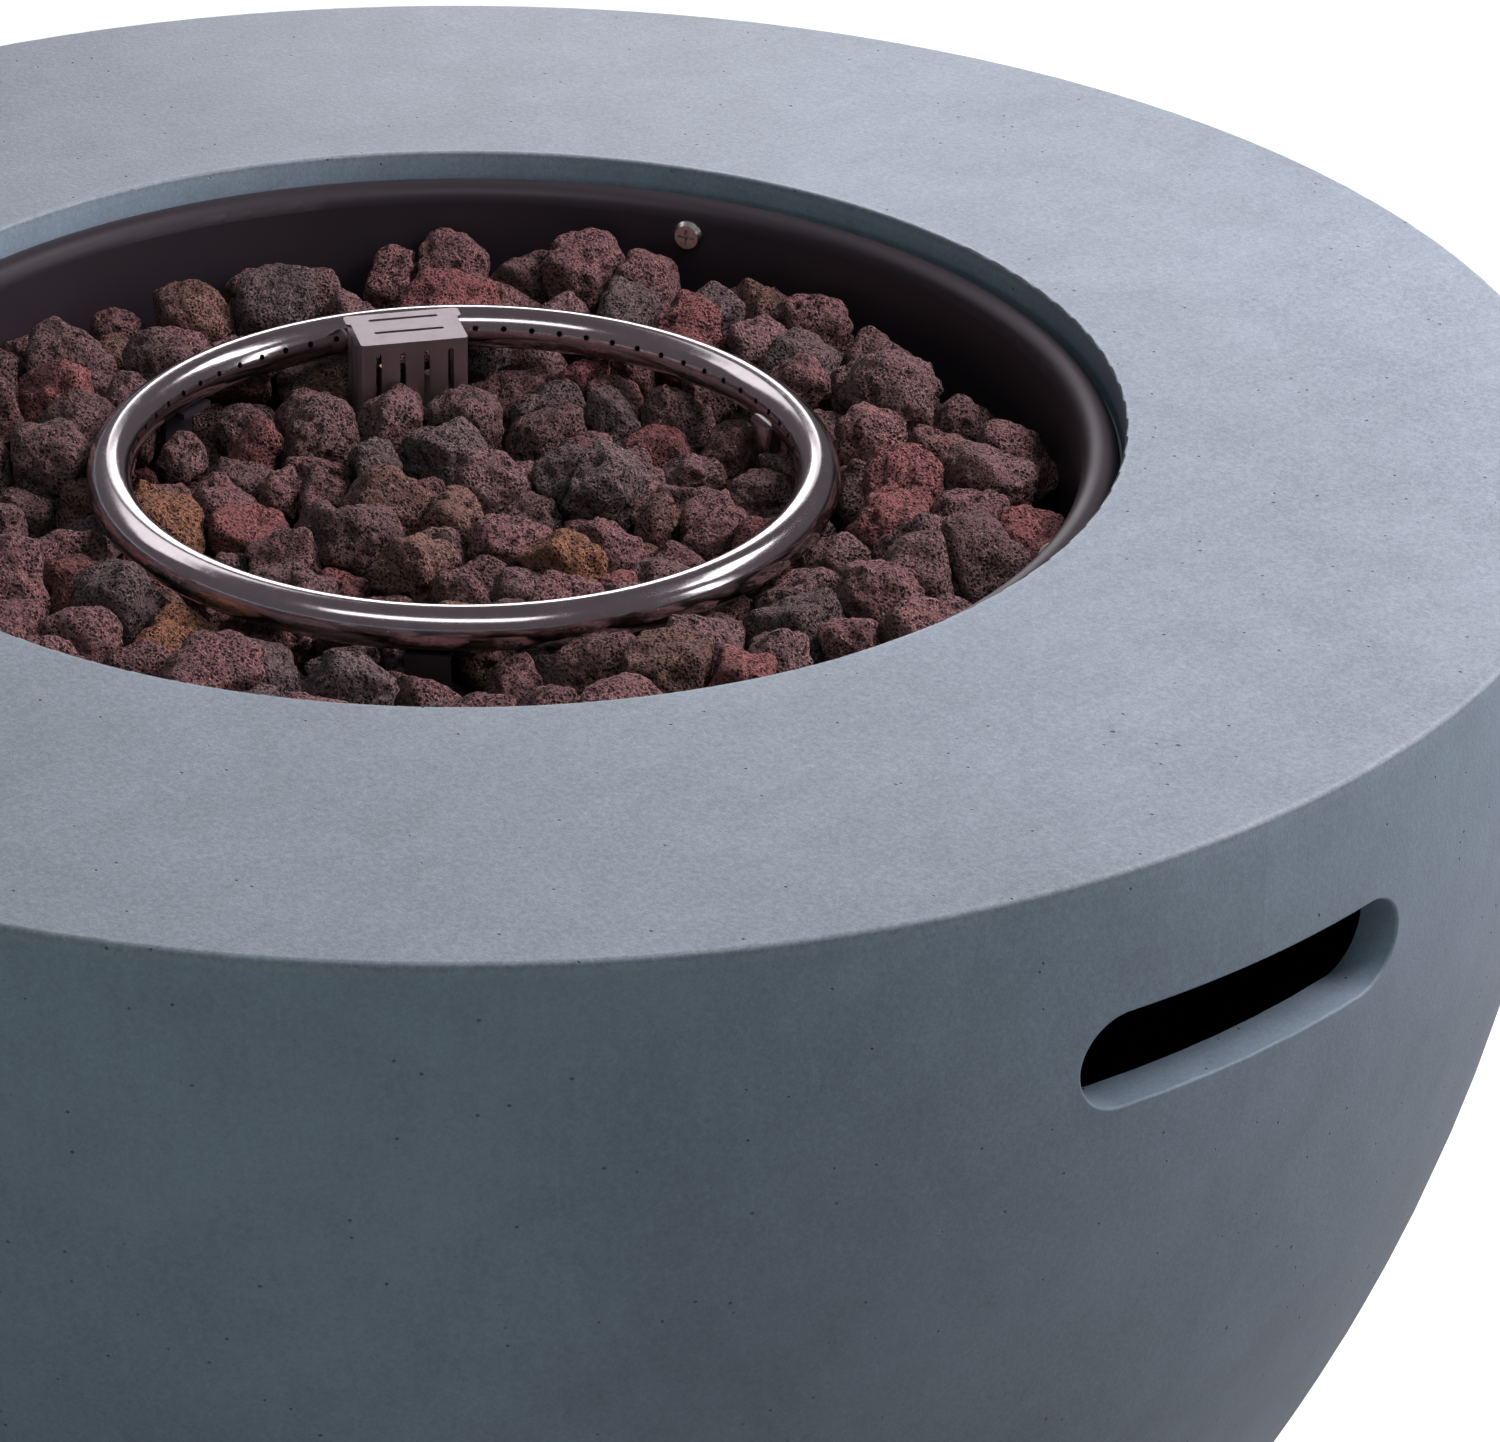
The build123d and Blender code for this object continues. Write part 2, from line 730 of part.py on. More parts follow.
# Air mixer on the pipe's lower end, with the gas jet screwed into its floor
mixer_top = pan_under - lock_nut_height - seat_gap
mixer_bottom = mixer_top - mixer_length
with BuildPart() as air_mixer:
    disc(inlet, mixer_bottom, mixer_top, mixer_radius)
    disc(inlet, mixer_bottom + mixer_floor, mixer_top, mixer_bore, mode=Mode.SUBTRACT)
    disc(inlet, pipe_end - seat_gap, mixer_top, inlet_pipe_radius + shank_clearance, mode=Mode.SUBTRACT)
    disc(inlet, mixer_bottom, mixer_top, jet_shank_radius + shank_clearance, mode=Mode.SUBTRACT)
    with Locations(inlet_spot + Vector(0, 0, mixer_bottom + mixer_floor + 2 * air_hole_radius)):
        with PolarLocations(mixer_radius, air_hole_count):
            Cylinder(air_hole_radius, 2 * mixer_radius, rotation=(0, 90, 0), mode=Mode.SUBTRACT)
save(air_mixer, "air_mixer")

jet_bottom = mixer_bottom - jet_head_height
with BuildPart() as gas_jet:
    hexagon(inlet, jet_bottom, mixer_bottom, jet_flats)
    disc(inlet, mixer_bottom, mixer_bottom + jet_nose_length, jet_shank_radius)
    disc(inlet, jet_bottom - flare_length, jet_bottom, flare_radius)
    jet_chamber_top = mixer_bottom + jet_nose_length / 2
    disc(inlet, jet_bottom - flare_length, jet_chamber_top, flare_radius / 2, mode=Mode.SUBTRACT)
    disc(inlet, mixer_bottom, mixer_bottom + jet_nose_length, jet_bore, mode=Mode.SUBTRACT)
save(gas_jet, "gas_jet")

# Pilot cover: one folded sheet, open at its back towards the ring and at its foot
front_face = Plane(
    origin=pilot.from_local_coords((0, cover_depth / 2, 0)), x_dir=pilot.x_dir, z_dir=-pilot.y_dir
)
side_face = Plane(origin=pilot.origin, x_dir=pilot.y_dir, z_dir=pilot.x_dir)
slot_middle = cover_height - cover_slot_top - cover_slot_length / 2
with BuildPart() as pilot_cover:
    slab(pilot, 0, cover_height, cover_width, cover_depth, corner=cover_sheet)
    slab(
        pilot, 0, cover_height - cover_sheet, cover_width - 2 * cover_sheet, cover_depth,
        (0, -cover_sheet), mode=Mode.SUBTRACT,
    )
    slab(
        pilot, cover_height - cover_sheet, cover_height, cover_width + 2 * cover_ear, cover_ear_depth,
        (0, (cover_ear_depth - cover_depth) / 2), corner=cover_ear,
    )
    for side in (-1, 1):
        tab_x = side * (cover_screw_x - cover_sheet / 2)
        slab(pilot, 0, cover_sheet, cover_tab + cover_sheet, cover_tab, (tab_x, 0))
    for spot in cover_screws:
        disc(pilot, 0, cover_sheet, sheet_screw_radius + hole_clearance, spot, Mode.SUBTRACT)
    with BuildSketch(pilot.offset(cover_height)) as top_slots:
        with Locations((0, -top_slot_back)):
            with GridLocations(1, top_slot_pitch, 1, 2):
                SlotOverall(top_slot_length, top_slot_width)
    extrude(top_slots.sketch, amount=-2 * cover_sheet, mode=Mode.SUBTRACT)
    with BuildSketch(front_face) as front_slots:
        with Locations((0, slot_middle)):
            with GridLocations(cover_slot_pitch, 1, 4, 1):
                SlotOverall(cover_slot_length, cover_slot_width, rotation=90)
    extrude(front_slots.sketch, amount=2 * cover_sheet, both=True, mode=Mode.SUBTRACT)
    with BuildSketch(side_face) as side_slots:
        with Locations((0, slot_middle)):
            with GridLocations(cover_slot_pitch, 1, 2, 1):
                SlotOverall(cover_slot_length, cover_slot_width, rotation=90)
    extrude(side_slots.sketch, amount=cover_width, both=True, mode=Mode.SUBTRACT)
save(pilot_cover, "pilot_cover")

with BuildPart() as cover_screw_pair:
    for spot in cover_screws:
        screw(
            pilot, cover_sheet, sheet_screw_radius, sheet_screw_length,
            sheet_screw_head_radius, sheet_screw_head_height, spot,
        )
save(cover_screw_pair, "pilot_cover_screws")

# Pilot bracket: foot, upright and a shelf with two holes
shelf_top = pilot_shelf_height
shelf_low = shelf_top - pilot_bracket_sheet
shelf_depth = 4 * sensor_radius
foot_depth = upright_y - bracket_end_y
with BuildPart() as pilot_bracket:
    slab(
        pilot, 0, pilot_bracket_sheet, pilot_bracket_width, foot_depth,
        (0, upright_y - foot_depth / 2),
    )
    slab(
        pilot, 0, shelf_top, pilot_bracket_width, pilot_bracket_sheet,
        (0, upright_y - pilot_bracket_sheet / 2),
    )
    slab(
        pilot, shelf_low, shelf_top, pilot_bracket_width, shelf_depth + pilot_bracket_sheet,
        (0, upright_y + (shelf_depth - pilot_bracket_sheet) / 2),
    )
    for spot in pilot_bracket_screws:
        disc(pilot, 0, pilot_bracket_sheet, sheet_screw_radius + hole_clearance, spot, Mode.SUBTRACT)
    disc(pilot, shelf_low, shelf_top, sensor_radius + shank_clearance, sensor_spot, Mode.SUBTRACT)
    disc(pilot, shelf_low, shelf_top, electrode_radius + shank_clearance, electrode_spot, Mode.SUBTRACT)
save(pilot_bracket, "pilot_bracket")

with BuildPart() as pilot_bracket_screw_pair:
    for spot in pilot_bracket_screws:
        screw(
            pilot, pilot_bracket_sheet, sheet_screw_radius, sheet_screw_length,
            sheet_screw_head_radius, sheet_screw_head_height, spot,
        )
save(pilot_bracket_screw_pair, "pilot_bracket_screws")

with BuildPart() as flame_sensor:
    disc(pilot, sensor_low, shelf_top + collar_sheet, sensor_radius, sensor_spot)
    disc(pilot, shelf_top, shelf_top + collar_sheet, 1.5 * sensor_radius, sensor_spot)
    disc(pilot, shelf_top, sensor_low + sensor_length, 0.7 * sensor_radius, sensor_spot)
save(flame_sensor, "flame_sensor")

wire_low = ceramic_low - lead_overlap
ceramic_top = ceramic_low + electrode_length
with BuildPart() as electrode_ceramic:
    disc(pilot, ceramic_low, ceramic_top, electrode_radius, electrode_spot)
    disc(pilot, shelf_top, shelf_top + collar_sheet, 1.5 * electrode_radius, electrode_spot)
    disc(
        pilot, ceramic_low, ceramic_top, electrode_wire_radius + shank_clearance,
        electrode_spot, Mode.SUBTRACT,
    )
save(electrode_ceramic, "electrode_ceramic")

wire_top = ceramic_top + electrode_wire_out
wire_tip = (electrode_spot[0], cover_sheet - cover_depth / 2, wire_top - electrode_wire_drop)
wire_points = [
    pilot.from_local_coords((*electrode_spot, wire_low)),
    pilot.from_local_coords((*electrode_spot, wire_top)),
    pilot.from_local_coords(wire_tip),
]
with BuildPart() as electrode_wire:
    bent_tube("electrode wire", wire_points, electrode_wire_radius)
save(electrode_wire, "electrode_wire")

# Control panel plate, its screws and their anchors
knob_spot = (valve_x, 0)
igniter_spot = (igniter_x, 0)
valve_screws_at = [(valve_x, -valve_screw_y), (valve_x, valve_screw_y)]
stem_hole_radius = stem_radius + stem_hole_gap
with BuildPart() as control_panel:
    slab(panel, 0, panel_sheet, panel_width, panel_height, corner=panel_corner)
    chamfer(control_panel.faces().sort_by(Axis.Y)[0].edges(), 0.4)
    disc(panel, 0, panel_sheet, stem_hole_radius, knob_spot, Mode.SUBTRACT)
    disc(panel, 0, panel_sheet, igniter_barrel_radius + hole_clearance, igniter_spot, Mode.SUBTRACT)
    for spot in panel_screws:
        disc(panel, 0, panel_sheet, panel_screw_radius + hole_clearance, spot, Mode.SUBTRACT)
    for spot in valve_screws_at:
        disc(panel, 0, panel_sheet, valve_screw_radius + hole_clearance, spot, Mode.SUBTRACT)
save(control_panel, "control_panel")

with BuildPart() as panel_screw_set:
    for spot in panel_screws:
        screw(
            panel, panel_sheet, panel_screw_radius, panel_screw_length,
            sheet_screw_head_radius, sheet_screw_head_height, spot,
        )
save(panel_screw_set, "panel_screws")

with BuildPart() as panel_anchors:
    for spot in panel_screws:
        disc(panel, -panel_anchor_length, 0, panel_anchor_radius, spot)
        disc(panel, -panel_anchor_length, 0, panel_screw_radius + shank_clearance, spot, Mode.SUBTRACT)
save(panel_anchors, "panel_anchors")

knob_base = panel_sheet + knob_travel + knob_push_gap
dial_bore = knob_radius + dial_knob_gap
with BuildPart() as dial_ring:
    disc(panel, panel_sheet, panel_sheet + dial_height, dial_radius, knob_spot)
    disc(panel, panel_sheet, panel_sheet + dial_height, dial_bore, knob_spot, Mode.SUBTRACT)
save(dial_ring, "dial_ring")

# Gas valve: body, bonnet, screws, safety plunger and stem
outlet_spot = (valve_x + outlet_x, outlet_y)
port_spot = (valve_x + port_x, port_y)
valve_under = Plane(
    origin=panel.from_local_coords((valve_x, -valve_height / 2, -inlet_depth)),
    x_dir=(1, 0, 0),
    z_dir=-panel.y_dir,
)
valve_back = Plane(
    origin=panel.from_local_coords((0, 0, -valve_depth)), x_dir=(-1, 0, 0), z_dir=-panel_normal
)
collar_back = -stem_collar_depth - stem_collar_length
plunger_top = collar_back - seat_gap
plunger_end = plunger_top - plunger_length
plunger_bore_end = plunger_end - knob_travel - plunger_spring_room
plunger_bore = plunger_radius + running_clearance
with BuildPart() as valve_body:
    slab(panel, -valve_depth, -bonnet_sheet, valve_width, valve_height, knob_spot, corner=3)
    disc(panel, -valve_depth - flare_length, -valve_depth, flare_radius, outlet_spot)
    disc(panel, -valve_depth - port_stud_length, -valve_depth, port_stud_radius, port_spot)
    disc(panel, -chamber_depth, -bonnet_sheet, chamber_radius, knob_spot, Mode.SUBTRACT)
    disc(panel, plunger_bore_end, -bonnet_sheet, plunger_bore, knob_spot, Mode.SUBTRACT)
    disc(panel, -valve_depth - flare_length, -chamber_depth, flare_radius / 2, outlet_spot, Mode.SUBTRACT)
    disc(
        valve_under, -valve_height / 2, 0, inlet_shank_radius + shank_clearance, mode=Mode.SUBTRACT
    )
    for spot in valve_screws_at:
        disc(
            panel, panel_sheet - valve_screw_length - 1, -bonnet_sheet,
            valve_screw_radius + shank_clearance, spot, Mode.SUBTRACT,
        )
save(valve_body, "valve_body")

with BuildPart() as valve_bonnet:
    slab(panel, -bonnet_sheet, 0, valve_width, valve_height, knob_spot, corner=3)
    disc(panel, -bonnet_sheet, 0, stem_radius + running_clearance, knob_spot, Mode.SUBTRACT)
    for spot in valve_screws_at:
        disc(panel, -bonnet_sheet, 0, valve_screw_radius + shank_clearance, spot, Mode.SUBTRACT)
save(valve_bonnet, "valve_bonnet")

with BuildPart() as valve_screw_pair:
    for spot in valve_screws_at:
        screw(
            panel, panel_sheet, valve_screw_radius, valve_screw_length,
            sheet_screw_head_radius, sheet_screw_head_height, spot,
        )
save(valve_screw_pair, "valve_screws")

bore_top = knob_base + knob_height - knob_bore_cap
stem_end = bore_top - seat_gap
flat_y = stem_radius - stem_flat
with BuildPart() as valve_stem:
    disc(panel, collar_back, stem_end, stem_radius, knob_spot)
    disc(panel, collar_back, -stem_collar_depth, stem_collar_radius, knob_spot)
    slab(
        panel, knob_base + knob_skirt, stem_end, 2 * stem_radius, stem_radius,
        (valve_x, flat_y + stem_radius / 2), mode=Mode.SUBTRACT,
    )
save(valve_stem, "valve_stem")

with BuildPart() as safety_plunger:
    disc(panel, plunger_end, plunger_top, plunger_radius, knob_spot)
save(safety_plunger, "safety_plunger")

# Control knob: a disc with a hollow underside, finger grooves and a grip bar
knob_top = knob_base + knob_height
groove_length = 0.7 * knob_radius
groove_spot = (valve_x, 0.4 * knob_radius)
with BuildPart() as control_knob:
    with BuildSketch(panel.offset(knob_base)) as knob_face:
        with Locations(knob_spot):
            Circle(knob_radius)
    extrude(knob_face.sketch, amount=knob_disc_height, taper=4)
    with BuildSketch(panel.offset(knob_base)) as grooves:
        with Locations(knob_spot):
            with PolarLocations(knob_radius + knob_grip_radius / 3, knob_grip_count):
                Circle(knob_grip_radius)
    extrude(grooves.sketch, amount=knob_disc_height, mode=Mode.SUBTRACT)
    with BuildSketch(panel.offset(knob_base + knob_skirt)) as grip_bar:
        with Locations(knob_spot):
            SlotOverall(knob_bar_length, knob_bar_width, rotation=90)
    extrude(grip_bar.sketch, amount=knob_height - knob_skirt, taper=3)
    disc(panel, knob_base, knob_base + knob_skirt, knob_radius - knob_wall, knob_spot, Mode.SUBTRACT)
    with BuildSketch(panel.offset(knob_base)) as bore_face:
        with Locations(knob_spot):
            Circle(stem_radius + running_clearance)
        with Locations((valve_x, flat_y + running_clearance + stem_radius)):
            Rectangle(4 * stem_radius, 2 * stem_radius, mode=Mode.SUBTRACT)
    extrude(bore_face.sketch, amount=bore_top - knob_base, mode=Mode.SUBTRACT)
    slab(
        panel, knob_top - groove_depth, knob_top, groove_width, groove_length, groove_spot,
        mode=Mode.SUBTRACT,
    )
save(control_knob, "control_knob")

with BuildPart() as knob_marker:
    slab(
        panel, knob_top - groove_depth, knob_top - shank_clearance,
        groove_width - 2 * shank_clearance, groove_length - 2 * shank_clearance, groove_spot,
    )
save(knob_marker, "knob_marker")

# Spark igniter: barrel and flange, lock nut behind the plate, and the push button
flange_out = panel_sheet + igniter_flange_height
button_bore_end = -button_inside - 2 * button_travel
with BuildPart() as igniter_barrel:
    disc(panel, -igniter_length, panel_sheet, igniter_barrel_radius, igniter_spot)
    disc(panel, panel_sheet, flange_out, igniter_flange_radius, igniter_spot)
    disc(panel, -igniter_length - terminal_length, -igniter_length, 2 * lead_radius, igniter_spot)
    disc(panel, button_bore_end, flange_out, button_radius + running_clearance, igniter_spot, Mode.SUBTRACT)
save(igniter_barrel, "igniter_barrel")

with BuildPart() as igniter_nut:
    hexagon(panel, -igniter_nut_height, 0, igniter_nut_flats, igniter_spot)
    disc(panel, -igniter_nut_height, 0, igniter_barrel_radius + shank_clearance, igniter_spot, Mode.SUBTRACT)
save(igniter_nut, "igniter_nut")

with BuildPart() as igniter_button:
    disc(panel, flange_out - button_inside, flange_out + button_out, button_radius, igniter_spot)
    fillet(igniter_button.edges().sort_by(Axis.Y)[0], 1.5)
save(igniter_button, "igniter_button")

# Gas line: inlet fitting under the valve, tube to the jet, and its two flare nuts
with BuildPart() as gas_inlet:
    disc(valve_under, -valve_height / 4, 0, inlet_shank_radius)
    hexagon(valve_under, 0, inlet_hex_height, inlet_hex_flats)
    disc(valve_under, inlet_hex_height, inlet_hex_height + inlet_stud_length, inlet_stud_radius)
    disc(
        valve_under, -valve_height / 4, inlet_hex_height + inlet_stud_length, inlet_bore,
        mode=Mode.SUBTRACT,
    )
save(gas_inlet, "gas_inlet")

jet_out = Plane(origin=inlet_spot + Vector(0, 0, jet_bottom), x_dir=(1, 0, 0), z_dir=(0, 0, -1))
with BuildPart() as gas_tube_nuts:
    for plane, spot in ((valve_back, (-outlet_spot[0], outlet_spot[1])), (jet_out, (0, 0))):
        hexagon(plane, seat_gap, seat_gap + gas_nut_length, gas_nut_flats, spot)
        disc(plane, 0, 2 * gas_nut_length, gas_tube_radius + shank_clearance, spot, Mode.SUBTRACT)
        disc(plane, 0, flare_length, flare_radius + shank_clearance, spot, Mode.SUBTRACT)
save(gas_tube_nuts, "gas_tube_nuts")

outlet_start = valve_back.from_local_coords((-outlet_spot[0], outlet_spot[1], flare_length))
outlet_run = valve_back.from_local_coords((-outlet_spot[0], outlet_spot[1], flare_length + 60))
jet_start = jet_out.from_local_coords((0, 0, flare_length))
jet_run = jet_out.from_local_coords((0, 0, flare_length + 68))
gas_route = [
    outlet_start,
    outlet_run,
    (-9, -150, pan_floor - 100),
    (9, -48, pan_floor - 130),
    (jet_run.X, 30, jet_run.Z - 3),
    jet_run,
    jet_start,
]
with BuildPart() as gas_tube:
    bent_tube("gas tube", gas_route, gas_tube_radius, gas_tube_radius - gas_tube_wall)
save(gas_tube, "gas_tube")

# Flame sensor's lead, from the sensor's foot to the valve's safety port
port_nut_start = seat_gap
with BuildPart() as sensor_lead_nut:
    spot = (-port_spot[0], port_spot[1])
    hexagon(valve_back, port_nut_start, port_nut_start + port_nut_length, port_nut_flats, spot)
    disc(valve_back, 0, 2 * port_nut_length, lead_radius + shank_clearance, spot, Mode.SUBTRACT)
    disc(valve_back, 0, port_stud_length, port_stud_radius + shank_clearance, spot, Mode.SUBTRACT)
save(sensor_lead_nut, "sensor_lead_nut")

sensor_route = [
    pilot.from_local_coords((*sensor_spot, sensor_low)),
    pilot.from_local_coords((*sensor_spot, -38)),
    (-83, -10, pan_floor - 62),
    (-77, -58, pan_floor - 74),
    (-66, -107, pan_floor - 78),
    (-51, -154, pan_floor - 76),
    (-37, -199, pan_floor - 84),
    valve_back.from_local_coords((-port_spot[0], port_spot[1], port_stud_length + 36)),
    valve_back.from_local_coords((-port_spot[0], port_spot[1], port_stud_length)),
]
with BuildPart() as sensor_lead:
    bent_tube("sensor lead", sensor_route, lead_radius)
save(sensor_lead, "sensor_lead")

# Spark lead, from the igniter's terminal to the electrode
terminal_end = -igniter_length - terminal_length
spark_route = [
    panel.from_local_coords((*igniter_spot, terminal_end)),
    panel.from_local_coords((*igniter_spot, terminal_end - 40)),
    (17, -192, pan_floor - 92),
    (3, -146, pan_floor - 76),
    (-16, -101, pan_floor - 65),
    (-38, -57, pan_floor - 59),
    (-60, -12, pan_floor - 55),
    pilot.from_local_coords((*electrode_spot, -40)),
    pilot.from_local_coords((*electrode_spot, wire_low)),
]
with BuildPart() as spark_lead:
    bent_tube("spark lead", spark_route, lead_radius)
save(spark_lead, "spark_lead")

# Lava rock: two layers of many-sided stones packed round everything in the pan


def nearest_on_post(seed, spot, radius, low, high):
    """Nearest point of an upright post."""
    away = Vector(seed.X - spot.X, seed.Y - spot.Y, 0)
    reach = min(radius, away.length)
    edge = Vector(spot.X, spot.Y, 0) + away.normalized() * reach
    return Vector(edge.X, edge.Y, min(max(seed.Z, low), high))


def nearest_on_block(seed, plane, low, high):
    """Nearest point of a block given by two corners in a plane's own frame."""
    local = plane.to_local_coords(seed)
    x = min(max(local.X, low[0]), high[0])
    y = min(max(local.Y, low[1]), high[1])
    z = min(max(local.Z, low[2]), high[2])
    return plane.from_local_coords(Vector(x, y, z))


screw_stack = sheet_screw_head_height + cover_sheet + bracket_sheet
flange_post_top = pan_floor + inlet_flange_height
leg_planes = [
    Plane(origin=polar(ring_radius, angle, pan_floor), x_dir=polar(1, angle), z_dir=(0, 0, 1))
    for angle in bracket_angles
]
bracket_half = bracket_width / 2
bracket_top = ring_under - pan_floor
saddle_under = bracket_top - bracket_sheet
bracket_blocks = [
    ((foot_x, -bracket_half, 0), (bracket_saddle, bracket_half, screw_stack)),
    ((leg_x, -bracket_half, 0), (bracket_saddle, bracket_half, bracket_top)),
    ((-bracket_saddle, -bracket_half, saddle_under), (bracket_saddle, bracket_half, bracket_top)),
]
cover_half = cover_width / 2 + cover_ear
tab_half = cover_width / 2 + cover_tab + cover_sheet


def nearest_obstacles(seed):
    """Nearest point of each thing that stands in the pan."""
    points = [
        nearest_on_post(seed, inlet_spot, collar_radius, pan_floor, collar_top),
        nearest_on_post(seed, inlet_spot, 0.6 * inlet_flange_flats, pan_floor, flange_post_top),
        nearest_on_block(
            seed, pilot, (-cover_half, -cover_depth / 2, 0), (cover_half, cover_depth / 2, cover_height)
        ),
        nearest_on_block(
            seed, pilot, (-tab_half, -cover_tab / 2, 0), (tab_half, cover_tab / 2, screw_stack)
        ),
    ]
    points += [
        nearest_on_block(seed, plane, low, high) for plane in leg_planes for low, high in bracket_blocks
    ]
    points += [
        nearest_on_post(seed, spot, shield_head_radius, pan_floor, pan_floor + shield_head_height)
        for spot in shield_bolts
    ]
    for angle in pan_screw_angles:
        middle = polar(pan_inner_radius, angle, rim_top - pan_screw_depth_below_rim)
        points.append(middle + (seed - middle).normalized() * 1.1 * pan_screw_head_radius)
    return points


def bank_height(x, y):
    """Rise of the stones outside the ring, a bank and then a level."""
    share = min(max(math.hypot(x, y) - ring_radius, 0) / rock_bank_width, 1)
    lean = math.cos(math.atan2(y, x) - math.radians(rock_bank_high_angle))
    return share * (rock_bank_rise + rock_bank_lean * lean)


def rock_seeds(pitch, level, spread, start, limit, bank=0):
    """Middles of one layer of stones between two radii, on a jittered triangular grid."""
    seeds = []
    rows = int(2 * limit / pitch) + 2
    for row in range(-rows, rows + 1):
        for column in range(-rows, rows + 1):
            x = (column + (row % 2) / 2 + random.uniform(-0.28, 0.28)) * pitch
            y = (row * math.sqrt(3) / 2 + random.uniform(-0.28, 0.28)) * pitch
            z = level + random.uniform(-spread, spread) + bank * bank_height(x, y)
            size = pitch * random.uniform(0.72, 1.22)
            if start < math.hypot(x, y) < limit:
                seeds.append((Vector(x, y, z), size))
    return seeds


def clear_seeds(seeds, room):
    """Keep the middles that have room to the tube and to everything that stands in the pan."""
    kept = []
    for seed, size in seeds:
        over_tube = math.hypot(math.hypot(seed.X, seed.Y) - ring_radius, seed.Z - ring_height)
        nearest = min((seed - point).length for point in nearest_obstacles(seed))
        if over_tube > ring_tube_radius + room and nearest > room:
            kept.append((seed, size))
    return kept


def facing(normal, point):
    """Half space behind a point, as the four numbers of its plane."""
    return [normal.X, normal.Y, normal.Z, -normal.dot(point)]


def rock_planes(seed, size, seeds):
    """Planes that bound one stone: its neighbours, the pan, the ring, obstacles and its own roundness."""
    planes = []
    for other, other_size in seeds:
        gap = other - seed
        if 0 < gap.length < 0.8 * (size + other_size):
            share = size / (size + other_size)
            normal = gap.normalized()
            planes.append(facing(normal, seed + gap * share - normal * rock_gap / 2))
    azimuth = math.degrees(math.atan2(seed.Y, seed.X))
    for turn in (-6, 0, 6):
        outward = polar(1, azimuth + turn)
        planes.append(facing(outward, outward * (pan_inner_radius - rock_gap)))
        # the tube's side towards the stone
        tube = polar(ring_radius, azimuth + turn, ring_height)
        radial = (seed - tube).dot(outward)
        away = (outward * radial + Vector(0, 0, seed.Z - ring_height)).normalized()
        planes.append(facing(-away, tube + away * (ring_tube_radius + rock_gap)))
    down = Vector(0, 0, -1)
    planes.append(facing(down, Vector(0, 0, pan_floor + rock_gap)))
    planes.append(facing(-down, Vector(0, 0, rim_top - rock_limit_below_rim)))
    corner = polar(pan_inner_radius - pan_corner_round, azimuth, pan_floor + pan_corner_round)
    slant = (polar(1, azimuth) + down).normalized()
    planes.append(facing(slant, corner + slant * (pan_corner_round - 3 * rock_gap)))
    for point in nearest_obstacles(seed):
        away = (seed - point).normalized()
        planes.append(facing(-away, point + away * rock_gap))
    # a lopsided ball round the seed, as flat facets facing every way
    skew = [[random.uniform(-0.24, 0.24) for _ in range(3)] for _ in range(3)]
    facets = 15
    spin = random.uniform(0, 360)
    for i in range(facets):
        height = 1 - (2 * i + 1) / facets
        flat = math.sqrt(1 - height**2)
        normal = polar(flat, spin + 137.5 * i, height)
        stretched = [
            normal.X * (1 + skew[0][0]) + normal.Y * skew[0][1] + normal.Z * skew[0][2],
            normal.Y * (1 + skew[1][1]) + normal.X * skew[1][0] + normal.Z * skew[1][2],
            normal.Z * (0.9 + skew[2][2]) + normal.X * skew[2][0] + normal.Y * skew[2][1],
        ]
        reach = 0.6 * size * math.hypot(*stretched) * random.uniform(0.9, 1.05)
        planes.append(facing(normal, seed + normal * reach))
    return planes


def rock_corners(seed, size, planes):
    """Outermost corners of the space inside the planes, no two of them close together."""
    middle = tuple(seed)
    corners = HalfspaceIntersection(np.array(planes), np.array(middle)).intersections
    kept = []
    for corner in sorted(corners, key=lambda c: -math.dist(c, middle)):
        if all(math.dist(corner, other) > rock_edge * size for other in kept):
            kept.append(tuple(corner))
    return kept


random.seed(rock_seed)
rock_limit = pan_inner_radius - 0.4 * rock_outer_pitch
top_level = rim_top - rock_top_below_rim
bottom_level = pan_floor + rock_bottom_pitch / 2
seeds = rock_seeds(rock_inner_pitch, top_level, rock_height_spread, 0, ring_radius)
for seed, size in rock_seeds(rock_outer_pitch, top_level, rock_height_spread, ring_radius, rock_limit, 1):
    if all((seed - other).length > 0.7 * rock_inner_pitch for other, _ in seeds):
        seeds.append((seed, size))
seeds += rock_seeds(rock_bottom_pitch, bottom_level, 1, 0, rock_limit)
seeds = clear_seeds(seeds, rock_inner_pitch / 3)
rocks = []
for seed, size in seeds:
    corners = rock_corners(seed, size, rock_planes(seed, size, seeds))
    rocks.append(ConvexPolyhedron(corners, mode=Mode.PRIVATE))
print("lava rocks", len(rocks))
lava_rocks = Compound([rock.solid() for rock in rocks])
lava_rocks.label = "lava_rocks"
export_step(lava_rocks, "parts/lava_rocks.step")
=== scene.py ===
import json
import math

import bmesh
import bpy
import numpy as np
from mathutils import Matrix, Vector


